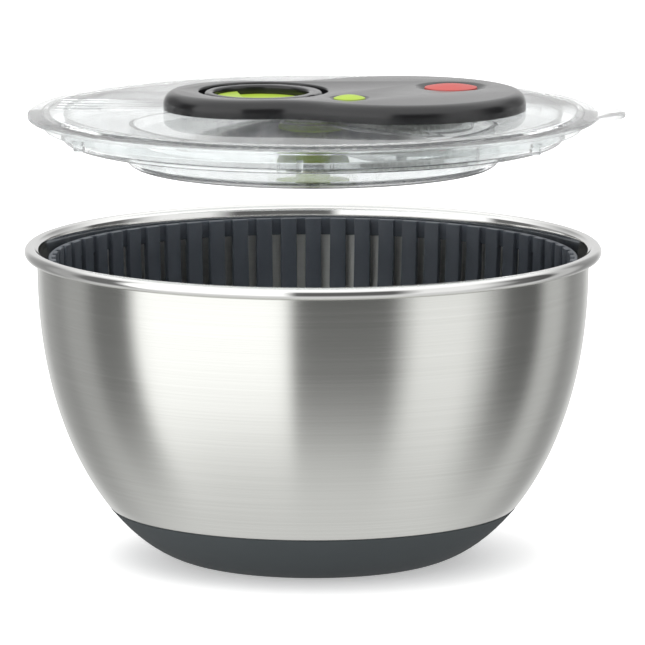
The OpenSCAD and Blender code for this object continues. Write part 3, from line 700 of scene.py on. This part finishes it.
def is_inside(corner):
    """True on the inner face."""
    r, z = math.hypot(corner.x, corner.y) / MM, corner.z / MM
    return z > PAD_BOTTOM + SHEET / 2 and r < inset_radius(z, SHEET * 0.6 + skin_depth(z))


def is_polished(corner):
    """True on the bead and on the top of the inner face."""
    r, z = math.hypot(corner.x, corner.y) / MM, corner.z / MM
    return z > rim_z - 1.7 or (z > basket_top / MM - 8 and r < wall_r - SHEET * 0.6)


for slot_number, finish_test in ((1, is_inside), (2, is_polished)):
    print("faces of", bowl.data.materials[slot_number].name + ":", pick(bowl, "FACE", finish_test))
    bowl.active_material_index = slot_number
    bpy.ops.object.material_slot_assign()
    bpy.ops.object.mode_set(mode="OBJECT")
deliver(bowl, steel_brushed, "bowl", "brushed_steel", "bowl_shell")

# %% [markdown]
# ## The non-slip base
# A soft cup is moulded around the steel's bottom, flush with it. It could be left as a sharp-edged
# shell, but real rubber ends in a small rounded lip where the mould closed on the steel, and it
# stands on a narrow ring with a shallow hollow inside.

# %% Base
pad_top = pad_height / MM
cup = [(0, 0.9), (FOOT_R - 16, 0.9), (FOOT_R - 13, 0), (FOOT_R - 1.5, 0)]
cup += [(body_radius(z), z) for z in (0.25, 0.7, 1.4, 2.4, 3.7, 5.3, 7.2, 9.4, 12, 15, 18.2, 20.6)]
cup += [(body_radius(pad_top - 0.9) + 0.03, pad_top - 0.9), (body_radius(pad_top) - 0.03, pad_top - 0.25)]
cup += [inset_point(pad_top - 0.1, PAD_EDGE * 0.8)]
cup += [inset_point(z, skin_depth(z) - 0.02) for z in (20, 16, 12, 8, 4.5, 2, 0.6)]
cup += [(FOOT_R - 6, PAD_BOTTOM - 0.02), (0, PAD_BOTTOM - 0.02)]
base = lathe("base", [(r * MM, z * MM) for r, z in cup], 192)
deliver(base, base_rubber, "bowl", "base_rubber", "base_pad")

# %% [markdown]
# ## The basket
# Sixty-four bars stand around the basket, joined at the top by a thin band outside them and at the
# bottom by a solid rim and a slotted floor. Cutting 64 gaps into a wall is one way, but each bar is
# the same moulded stick with soft edges. So one bar is drawn along the bowl's curve, given its depth
# and its width, rounded, and then copied around.

# %% One bar
BARS = 64
BAR_DEPTH = 3.2
BASKET_INSET = 5.0
BAND_T = 1.4
FLOOR_LOW = 11.8
FLOOR_TOP = 14.0
SOLID_TOP = 19.0
GAP_TOP = 4.2
GAP_LOW = 2.4
band_low = basket_top / MM - 7.5
pitch = math.tau / BARS


def bar_gap(z):
    """Width of the gap between two bars at a height."""
    return GAP_LOW + (GAP_TOP - GAP_LOW) * min(1, max(0, (z - SOLID_TOP) / (band_low - SOLID_TOP)))


bar_levels = [FLOOR_LOW + 1 + (basket_top / MM - FLOOR_LOW - 1.05) * (i / 11) ** 1.25 for i in range(12)]
bar = trace("bar", [(inset_radius(z, BASKET_INSET) * MM, -0.5 * MM, z * MM) for z in bar_levels])
bpy.ops.mesh.extrude_region_move(TRANSFORM_OT_translate={"value": (-BAR_DEPTH * MM, 0, 0)})
bpy.ops.mesh.select_all(action="SELECT")
bpy.ops.mesh.extrude_region_move(TRANSFORM_OT_translate={"value": (0, MM, 0)})
for z in bar_levels:
    width = pitch * (inset_radius(z, BASKET_INSET) - BAR_DEPTH / 2) - bar_gap(z)
    pick(bar, "VERT", lambda corner: abs(corner.z - z * MM) < 0.2 * MM)
    bpy.ops.transform.resize(value=(1, width, 1), center_override=(0, 0, 0))
bpy.ops.mesh.select_all(action="SELECT")
bpy.ops.mesh.normals_make_consistent(inside=False)
bpy.ops.object.mode_set(mode="OBJECT")
soften(bar, 0.45 * MM, 2, 50)
copies_around(bar, BARS)
print("bars:", BARS, "faces:", len(bar.data.polygons))

# %% Basket floor, rim and band
HUB_R = 7.5
BORE_R = 4.05
HUB_LOW = 7.8
HUB_TOP = 21.8
rim_levels = [FLOOR_LOW + (SOLID_TOP - FLOOR_LOW) * i / 6 for i in range(7)]
corner_in = inset_radius(FLOOR_LOW, BASKET_INSET) - 1
tray = [(BORE_R, HUB_LOW), (HUB_R, HUB_LOW), (HUB_R, FLOOR_LOW)]
tray += [(inset_radius(z, BASKET_INSET), z) for z in rim_levels]
tray += [(inset_radius(z, BASKET_INSET) - BAR_DEPTH, z) for z in rim_levels[:2:-1]]
tray += [(corner_in, FLOOR_TOP), (HUB_R + 1.5, FLOOR_TOP), (HUB_R, FLOOR_TOP + 1.5)]
tray += [(HUB_R, HUB_TOP - 0.6), (HUB_R - 0.6, HUB_TOP), (BORE_R, HUB_TOP), (BORE_R, HUB_LOW)]
tray_part = lathe("basket floor", [(r * MM, z * MM) for r, z in tray], 192)
short_slot = block("slot", (20 * MM, -1.5 * MM, 5 * MM), (36 * MM, 1.5 * MM, 18 * MM))
long_slot = block("slot", (42 * MM, -2 * MM, 5 * MM), (60 * MM, 2 * MM, 15.8 * MM))
slots = copies_around(merge_pieces("slots", short_slot, long_slot), 16)
combine(tray_part, "DIFFERENCE", slots)

band_out = inset_radius(band_low, BASKET_INSET)
band_top = basket_top / MM
band = lathe("band", rounded([
    (band_out - BAND_T, band_low - 0.2, 0.3), (band_out, band_low - 0.2, 0.3),
    (band_out + 0.05, band_top, 0.5), (band_out - BAND_T, band_top, 0.5),
], 0, 3), 192)
basket = merge_pieces("basket_bars", bar, tray_part, band)
deliver(basket, basket_grey, "basket", "basket_plastic", "basket")

# %% [markdown]
# ## The lid
# The lid is one clear moulding: a flat plate, a lip that slopes to the edge, and a skirt that
# centres it in the bowl. It is turned on the lathe with its middle opening already in it, and the
# other openings are milled. The slots on the left let water be poured out through the closed lid.

# %% Lid plate
LIP_DROP = 1.8
LIP_LOW = -3.5
LIP_WIDTH = 8.5
SKIRT_OUT = 118.7
SKIRT_IN = 117.2
SKIRT_LOW = -8.3
PLATE_T = 2.2
HUB_HOLE_R = 14.5
REEL_HOLE_R = 20
edge_r = -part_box("lid_shell")[0][0] / MM
plate_r = edge_r - LIP_WIDTH
lid = lathe("lid", rounded([
    (HUB_HOLE_R, 0, 0.3), (plate_r, 0, 1.2), (edge_r, -LIP_DROP, 0.7), (edge_r, LIP_LOW, 0.5),
    (SKIRT_OUT + 0.6, LIP_LOW, 0.4), (SKIRT_OUT, LIP_LOW - 0.6, 0.3), (SKIRT_OUT, SKIRT_LOW, 0.5),
    (SKIRT_IN, SKIRT_LOW, 0.5), (SKIRT_IN, -PLATE_T, 1.0), (HUB_HOLE_R, -PLATE_T, 0.3),
], lid_top), 224)

STEM_AT = (57.98 * MM, 12.08 * MM)
SCREW_RING = 41.5 * MM
SCREW_ANGLES = (62, -62, 114, -114)
screw_spots = [(axle_x + SCREW_RING * math.cos(math.radians(a)), SCREW_RING * math.sin(math.radians(a)))
               for a in SCREW_ANGLES] + [(-57.5 * MM, 0)]
low, high = on_lid(-4), on_lid(2)
cutters = [peg("reel hole", REEL_HOLE_R * MM, low, high, (axle_x, 0)),
           peg("stem hole", 3.4 * MM, low, high, STEM_AT, sides=48)]
cutters += [peg("screw hole", 1.65 * MM, low, high, spot, sides=32) for spot in screw_spots]
combine(lid, "DIFFERENCE", *cutters)
print("openings in the plate:", len(cutters) + 1)

# %% Pouring slots and lift tab
SLOTS = 5
SLOT_PITCH = 8.2
SLOT_LENGTH = 21
SLOT_WIDTH = 1.8
for i in range(SLOTS):
    start_x = -plate_r + 3.5 + 0.6 * i
    across = i * SLOT_PITCH
    slot = block("slot", (start_x * MM, (across - SLOT_WIDTH / 2) * MM, low),
                 ((start_x + SLOT_LENGTH) * MM, (across + SLOT_WIDTH / 2) * MM, high))
    round_edges(slot, lambda corner: True, 0.7 * MM, 2)
    combine(lid, "DIFFERENCE", slot)

TAB_HALF = 19
TAB_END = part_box("lid_shell")[1][0] / MM
TAB_START = edge_r - 3
tongue = []
for k in range(33):
    angle = math.radians(-90 + 180 * k / 32)
    reach = math.cos(angle) ** 0.85 if abs(angle) < 1.57 else 0
    tongue.append(((TAB_START + (TAB_END - TAB_START) * reach) * MM, TAB_HALF * math.sin(angle) * MM))
tab = fill_outline("tab", tongue, on_lid(LIP_LOW), on_lid(-(LIP_DROP + 0.02)))
soften(tab, 0.5 * MM, 2)
combine(lid, "UNION", tab)
lid.visible_shadow = False
deliver(lid, clear, "lid", "clear_plastic", "lid_shell")

# %% [markdown]
# ## The basket cover
# Under the lid turns a second clear moulding, a shallow tray with a wide step. It closes the basket
# so that no leaf flies out, and the gears' spindle turns it. Six lugs on its wall reach between the
# bars and take the basket along.

# %% Basket cover
COVER_LOW = -24.6
STEP_LOW = -13.8
COVER_TOP = -3.6
COVER_WALL = 1.6
COVER_BORE = 3.05
lug_reach = 115.0
ring_r = 110.5
tray_r = 82.3
cover = lathe("cover", rounded([
    (COVER_BORE, COVER_LOW, 0), (tray_r, COVER_LOW, 3.2), (tray_r, STEP_LOW, 0.8), (ring_r, STEP_LOW, 1.6),
    (ring_r, COVER_TOP, 0.5), (ring_r - COVER_WALL, COVER_TOP, 0.5),
    (ring_r - COVER_WALL, STEP_LOW + COVER_WALL, 1.0), (tray_r - COVER_WALL, STEP_LOW + COVER_WALL, 0.8),
    (tray_r - COVER_WALL, COVER_LOW + COVER_WALL, 2.0), (COVER_BORE, COVER_LOW + COVER_WALL, 0),
], lid_top), 224)
LUGS = 6
LUG_WIDTH = 2.9
FIRST_LUG = -93


def lug_angle(i):
    """The middle of the gap between bars in which a lug's share of a turn falls."""
    share = math.radians(FIRST_LUG + i * 360 / LUGS)
    return (math.floor(share / pitch + 0.001) + 0.5) * pitch


lug = block("lugs", (109.7 * MM, -LUG_WIDTH / 2 * MM, on_lid(-12.8)),
            (lug_reach * MM, LUG_WIDTH / 2 * MM, on_lid(-7.4)))
round_edges(lug, lambda corner: corner.z < on_lid(-12) or corner.x > 114 * MM, 0.8 * MM, 3)
for i in range(LUGS):
    copy = lug.copy()
    copy.data = lug.data.copy()
    scene.collection.objects.link(copy)
    copy.rotation_euler.z = lug_angle(i)
    combine(cover, "UNION", settle(copy))
bpy.data.objects.remove(lug)
cover.visible_shadow = False
deliver(cover, clear, "cover", "clear_plastic", "basket_cover")

# %% [markdown]
# ## The housing
# The black cover on the lid has the outline of a bowling pin: a small lobe for the ring, a large one
# for the reel, and a hollow curve between them. The outline is drawn as arcs that meet smoothly,
# filled and pulled up. Its top edge is rounded while the block is still plain, because a bevel runs
# cleanly only before the holes are there. Then it is hollowed, cups and bosses are joined on, and
# the openings are cut.

# %% Housing outline
RING_LOBE = Vector((-28, 0))
REEL_LOBE = Vector((axle_x / MM, 0))
RING_LOBE_R = 38
REEL_LOBE_R = 55
WAIST_R = 36
HOUSING_H = 8


def arc(centre, radius, start, end, steps):
    """Points in metres along an arc whose angles are in radians."""
    angles = [start + (end - start) * k / steps for k in range(steps + 1)]
    return [((centre.x + radius * math.cos(a)) * MM, (centre.y + radius * math.sin(a)) * MM) for a in angles]


def pin_outline(inset):
    """The housing's outline, drawn in by an inset in mm."""
    small, large, waist = RING_LOBE_R - inset, REEL_LOBE_R - inset, WAIST_R + inset
    span = REEL_LOBE.x - RING_LOBE.x
    a, b = small + waist, large + waist
    along = (span * span + a * a - b * b) / (2 * span)
    middle = RING_LOBE + Vector((along, math.sqrt(a * a - along * along)))
    to_reel = math.atan2(middle.y, middle.x - REEL_LOBE.x)
    to_ring = math.atan2(middle.y, middle.x - RING_LOBE.x)
    from_reel = math.atan2(-middle.y, REEL_LOBE.x - middle.x)
    from_ring = math.atan2(-middle.y, RING_LOBE.x - middle.x)
    mirrored = Vector((middle.x, -middle.y))
    points = arc(REEL_LOBE, large, -to_reel, to_reel, 72)
    points += arc(middle, waist, from_reel, from_ring, 18)[1:]
    points += arc(RING_LOBE, small, to_ring, math.tau - to_ring, 56)[1:]
    points += arc(mirrored, waist, -from_ring, -from_reel, 18)[1:-1]
    return points


print("outline points:", len(pin_outline(0)))

# %% Housing block
housing_low = on_lid(0.02)
housing_top = on_lid(HOUSING_H)
ceiling = on_lid(6)
housing = fill_outline("housing", pin_outline(0), housing_low, housing_top)
round_edges(housing, lambda corner: corner.z > housing_top - 0.1 * MM, 5.2 * MM, 9)
hollow = fill_outline("hollow", pin_outline(2), on_lid(-1), ceiling)
combine(housing, "DIFFERENCE", hollow)
print("housing block:", len(housing.data.polygons), "faces")

# %% Housing cups, bosses and openings
RING_AT = (-21.9 * MM, 0)
RECESS_R = 28.5
BRAKE_AT = (axle_x + 22 * MM, 14 * MM)
BRAKE_R = 11.7
BRAKE_DISH_OUT = 4.8
BRAKE_DISH_DEEP = 2.4
DISH_OVER = 0.3
RELEASE_AT = (16 * MM, -25 * MM)
RELEASE_R = 7
GUIDE_AT = (1.2 * MM, 0)
inside_roof = ceiling + 0.6 * MM
cups = [peg("ring cup", (RECESS_R + 1.4) * MM, on_lid(1.55), inside_roof, RING_AT, sides=128),
        peg("brake cup", (BRAKE_R + 1.6) * MM, on_lid(0.6), inside_roof, BRAKE_AT),
        peg("axle boss", 4.4 * MM, on_lid(0.05), inside_roof, (axle_x, 0), sides=48)]
cups += [peg("boss", 3.4 * MM, on_lid(0.04), inside_roof, spot, sides=40) for spot in screw_spots]
combine(housing, "UNION", *cups)

brake_hole = (BRAKE_R + 0.25) * MM
over = housing_top + MM
openings = [
    peg("ring recess", RECESS_R * MM, on_lid(2.6), over, RING_AT, sides=128),
    peg("guide hole", 3 * MM, on_lid(1), on_lid(4), GUIDE_AT, sides=40),
    peg("brake well", brake_hole, on_lid(1.6), over, BRAKE_AT),
    peg("brake dish", brake_hole - 0.3 * MM, housing_top - BRAKE_DISH_DEEP * MM, housing_top + DISH_OVER * MM,
        BRAKE_AT, (BRAKE_R + BRAKE_DISH_OUT) * MM),
    peg("stem hole", 2.25 * MM, lid_top, on_lid(3), STEM_AT, sides=40),
    peg("release well", (RELEASE_R + 0.25) * MM, on_lid(2), over, RELEASE_AT, sides=72),
    peg("release dish", (RELEASE_R - 0.4) * MM, housing_top - 1.0 * MM, housing_top + 0.3 * MM, RELEASE_AT,
        (RELEASE_R + 2.9) * MM, sides=72),
    peg("axle hole", 2.02 * MM, on_lid(-1), on_lid(6.35), (axle_x, 0), sides=40),
]
openings += [peg("screw hole", 1.27 * MM, on_lid(-1), on_lid(5.2), spot, sides=32)
             for spot in screw_spots]
combine(housing, "DIFFERENCE", *openings)
print("openings:", len(openings))


def near_circle(centre, radius, tolerance=0.15):
    """A test for corners on a circle at the housing's top."""
    def test(corner):
        off = math.hypot(corner.x - centre[0], corner.y - centre[1]) / MM - radius
        return abs(off) < tolerance and corner.z > housing_top - 0.05 * MM
    return test


# %% [markdown]
# The latch slides from under the release button into the ring's recess. Its direction comes from
# the frame's joint, and its place from the ring's edge, so the window in the recess wall and the
# latch itself share one line.

# %% Latch window and rounded openings
RING_R = 26.3
latch_joint = next(j for j in frame["joints"] if j["name"] == "latch_slide")
latch_way = Vector((latch_joint["axis"][0], latch_joint["axis"][1])).normalized()
latch_turn = math.atan2(latch_way.y, latch_way.x)
tip = (RING_AT[0] + latch_way.x * (RING_R + 0.25) * MM, latch_way.y * (RING_R + 0.25) * MM)
window = block("window", (-MM, -2.7 * MM, on_lid(3.5)), (11 * MM, 2.7 * MM, on_lid(5.5)),
               latch_turn, tip)
combine(housing, "DIFFERENCE", window)
print("recess edge:", round_edges(housing, near_circle(RING_AT, RECESS_R), 0.9 * MM, 4), "edges")
dish_slope = (BRAKE_R + BRAKE_DISH_OUT - brake_hole / MM + 0.3) / (BRAKE_DISH_DEEP + DISH_OVER)
dish_r = brake_hole / MM - 0.3 + dish_slope * BRAKE_DISH_DEEP
print("dish edge:", round_edges(housing, near_circle(BRAKE_AT, dish_r, 0.3), 0.6 * MM, 3), "edges")
release_dish_r = RELEASE_R - 0.4 + 3.3 * 1.0 / 1.3
release_test = near_circle(RELEASE_AT, release_dish_r, 0.2)
print("release edge:", round_edges(housing, release_test, 0.4 * MM, 3), "edges")
deliver(housing, gloss_black, "lid", "black_gloss", "housing_cover", smooth=30)

# %% Latch
latch = block("latch", (-1.5 * MM, -2.5 * MM, on_lid(3.7)), (21.3 * MM, 2.5 * MM, on_lid(5.2)))
stem_window = block("stem window", (15.0 * MM, -1.5 * MM, on_lid(3)),
                    (20.8 * MM, 1.5 * MM, on_lid(6)))
combine(latch, "DIFFERENCE", stem_window)
soften(latch, 0.35 * MM, 2)
latch.rotation_euler.z = latch_turn
latch.location = (*tip, 0)
settle(latch)
deliver(latch, gloss_black, "latch", "black_gloss", "ring_latch")

# %% [markdown]
# ## The pull ring and the finger well
# A finger goes through the ring and hooks it. The hole sits off centre, so the side that carries
# the cord is wider. The ring is rounded before its hole is cut, then the hole's own edge is
# rounded. Under it lies the green well, a shallow dish with a raised step on the far side from the
# cord, against which the ring's edge is tipped up.

# %% Pull ring
HOLE_AT = (-23 * MM, 0)
HOLE_R = 21
ring_low, ring_top = on_lid(3.0), on_lid(7.6)
ring = peg("pull_ring", RING_R * MM, ring_low, ring_top, RING_AT, sides=144)
round_edges(ring, lambda corner: corner.z > ring_top - 0.01 * MM, 1.7 * MM, 6)
hole = peg("hole", HOLE_R * MM, ring_low - MM, ring_top + MM, HOLE_AT, sides=144)
cord_hole = peg("cord hole", 1.15 * MM, ring_low - MM, ring_low + 3 * MM, GUIDE_AT, sides=32)
knot_room = peg("knot room", 1.9 * MM, on_lid(4.88), on_lid(6.78), GUIDE_AT, sides=32)
notch = block("notch", (-1.8 * MM, -2.9 * MM, on_lid(3.4)), (6.2 * MM, 2.9 * MM, on_lid(9)),
              latch_turn, tip)
combine(ring, "DIFFERENCE", hole, cord_hole, knot_room, notch)


def on_hole_edge(corner):
    """True at the top edge of the ring's hole."""
    off = math.hypot(corner.x - HOLE_AT[0], corner.y) / MM - HOLE_R
    return abs(off) < 0.05 and corner.z > ring_top - 0.01 * MM


print("hole edge:", round_edges(ring, on_hole_edge, 1.3 * MM, 5), "edges")
deliver(ring, gloss_black, "ring", "black_gloss", "pull_ring", smooth=30)

# %% Finger well
WELL_R = 20.3
well_low = on_lid(2.62)
dish = lathe("dish", [(r * MM, well_low + z * MM) for r, z in (
    (0, 0), (WELL_R, 0), (WELL_R, 1.0), (WELL_R - 0.4, 1.2), (16, 0.95), (10, 0.75), (0, 0.65), (0, 0))], 128)
dish.location = (*HOLE_AT, 0)
settle(dish)
step = peg("step", WELL_R * MM, well_low + 0.1 * MM, well_low + 2.7 * MM, HOLE_AT, sides=128)
beyond = block("beyond", (-8 * MM, -30 * MM, well_low - MM), (40 * MM, 30 * MM, well_low + 6 * MM),
               math.radians(8), HOLE_AT)
combine(step, "DIFFERENCE", beyond)
soften(step, 0.9 * MM, 4, 30)
well = merge_pieces("finger_well_dish", dish, step)
deliver(well, leaf_green, "lid", "green_plastic", "finger_well")

# %% [markdown]
# ## The buttons
# Both buttons are shallow domes. Each is turned on the lathe about its own axis, with its rounded
# shoulder and, for the brake, a hollow under the cap; stems and a collar are joined on below.

# %% Buttons
def dome_outline(radius, foot, shoulder, crown, hollow_r, hollow_top):
    """Outline of a domed cap in mm: shoulder height, crown height and the hollow under it."""
    ball = (radius ** 2 + (crown - shoulder) ** 2) / (2 * (crown - shoulder))
    arc_r = [radius * k / 14 for k in range(14)]
    top = [(r, crown - ball + math.sqrt(ball * ball - r * r)) for r in arc_r]
    side = [(radius - 0.12, shoulder + 0.02), (radius, shoulder - 0.3), (radius, foot)]
    return top + side + [(hollow_r, foot), (hollow_r, hollow_top), (0, hollow_top), top[0]]


def button(name, outline, at, *below):
    cap = lathe(name, [(r * MM, on_lid(z)) for r, z in outline], 96)
    cap.location = (*at, 0)
    return combine(settle(cap), "UNION", *below)


brake_stem = peg("stem", 2.2 * MM, on_lid(-7.45), on_lid(7), STEM_AT, sides=40)
brake = button("brake_cap", dome_outline(BRAKE_R, 5, 7.6, 8.95, 10.3, 6.7), BRAKE_AT, brake_stem)
deliver(brake, signal_red, "brake", "red_plastic", "brake_button")

release_stem = peg("stem", 1.1 * MM, on_lid(2.95), on_lid(7.6), RELEASE_AT, sides=32)
collar = peg("collar", 2.6 * MM, on_lid(2.9), on_lid(3.5), RELEASE_AT, sides=40)
release = button("release_cap", dome_outline(RELEASE_R, 7.2, 7.95, 9.3, 0.6, 7.25), RELEASE_AT,
                 release_stem, collar)
deliver(release, leaf_green, "release", "green_plastic", "release_button")

# %% [markdown]
# ## What stretches: the cord's tail and two springs
# A pull draws almost half a metre of cord out of the guide, and a press shortens a spring. Neither
# can ride on one body. Each is made with many rings of points along its length.

# %% Cord tail
TAIL_LOW = 2.92
TAIL_TOP = 4.88
rings = [(1.0, TAIL_LOW + (TAIL_TOP - TAIL_LOW) * k / 40) for k in range(41)]
tail = lathe("tail", [(r * MM, on_lid(z)) for r, z in [(0, TAIL_LOW)] + rings + [(0, TAIL_TOP)]], 16)
tail.location = (*GUIDE_AT, 0)
settle(tail)
deliver(tail, cord, None, "cord", "cord_tail")
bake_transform(tail)

# %% Springs
def spring(name, radius, wire, low, high, turns, at):
    """A coil between two heights in mm above the lid."""
    choose_only(None)
    bpy.ops.mesh.primitive_circle_add(vertices=8, radius=wire * MM, rotation=(math.pi / 2, 0, 0),
                                      location=(radius * MM, 0, on_lid(low + wire)))
    coil = settle(bpy.context.object)
    coil.name = name
    pitch_mm = (high - low - 2 * wire) / turns
    apply_modifier(coil, "SCREW", {"angle": math.tau, "screw_offset": pitch_mm * MM, "iterations": turns,
                                   "steps": 28, "render_steps": 28})
    bpy.ops.object.mode_set(mode="EDIT")
    bpy.ops.mesh.select_all(action="SELECT")
    bpy.ops.mesh.remove_doubles(threshold=0.002 * MM)
    bpy.ops.mesh.fill_holes(sides=0)
    bpy.ops.mesh.normals_make_consistent(inside=False)
    bpy.ops.object.mode_set(mode="OBJECT")
    coil.location = (*at, 0)
    return settle(coil)


SPRINGS = [
    ("brake_coil", 4, 0.3, 1.64, 6.66, 3, STEM_AT, "brake", "brake_spring"),
    ("release_coil", 2, 0.2, 0.04, 2.86, 3, RELEASE_AT, "release", "release_spring"),
]
for name, radius, wire, low_z, high_z, turns, at, body, node in SPRINGS:
    coil = spring(name, radius, wire, low_z, high_z, turns, at)
    deliver(coil, wire_steel, None, "spring_steel", node)
    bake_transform(coil)

# %% [markdown]
# ## Finishes for the works
# The gears, the reel and the other works keep the frame's own shapes, which are exact. They only
# need their finish, by assigning a material to each one's slots.

# %% Works
WORKS = {
    "pivot_foot": acetal_white, "gear_cover": clear, "cord_guide": acetal_white, "cord_run": cord,
    "reel_axle": zinc, "axle_clip": wire_steel, "spindle_bush": bronze, "case_screws": zinc,
    "cover_hub": leaf_green, "spindle": zinc, "spindle_clip": wire_steel, "spindle_nut": zinc,
    "pinion": acetal_white, "drive_gear": acetal_white, "reel": acetal_white, "cord_winding": cord,
    "mainspring": wire_steel, "pawl_a": signal_red, "pawl_b": signal_red, "cord_knot": cord,
    "brake_pad": base_rubber,
}
for node, material in WORKS.items():
    part = frame["nodes"][node]
    part.data.materials.clear()
    part.data.materials.append(material)
frame["nodes"]["gear_cover"].visible_shadow = False
print("finished works:", len(WORKS))

# %% [markdown]
# ## Close
# The finished object has to keep the frame's size.

# %% Finish
print("all pieces are built")
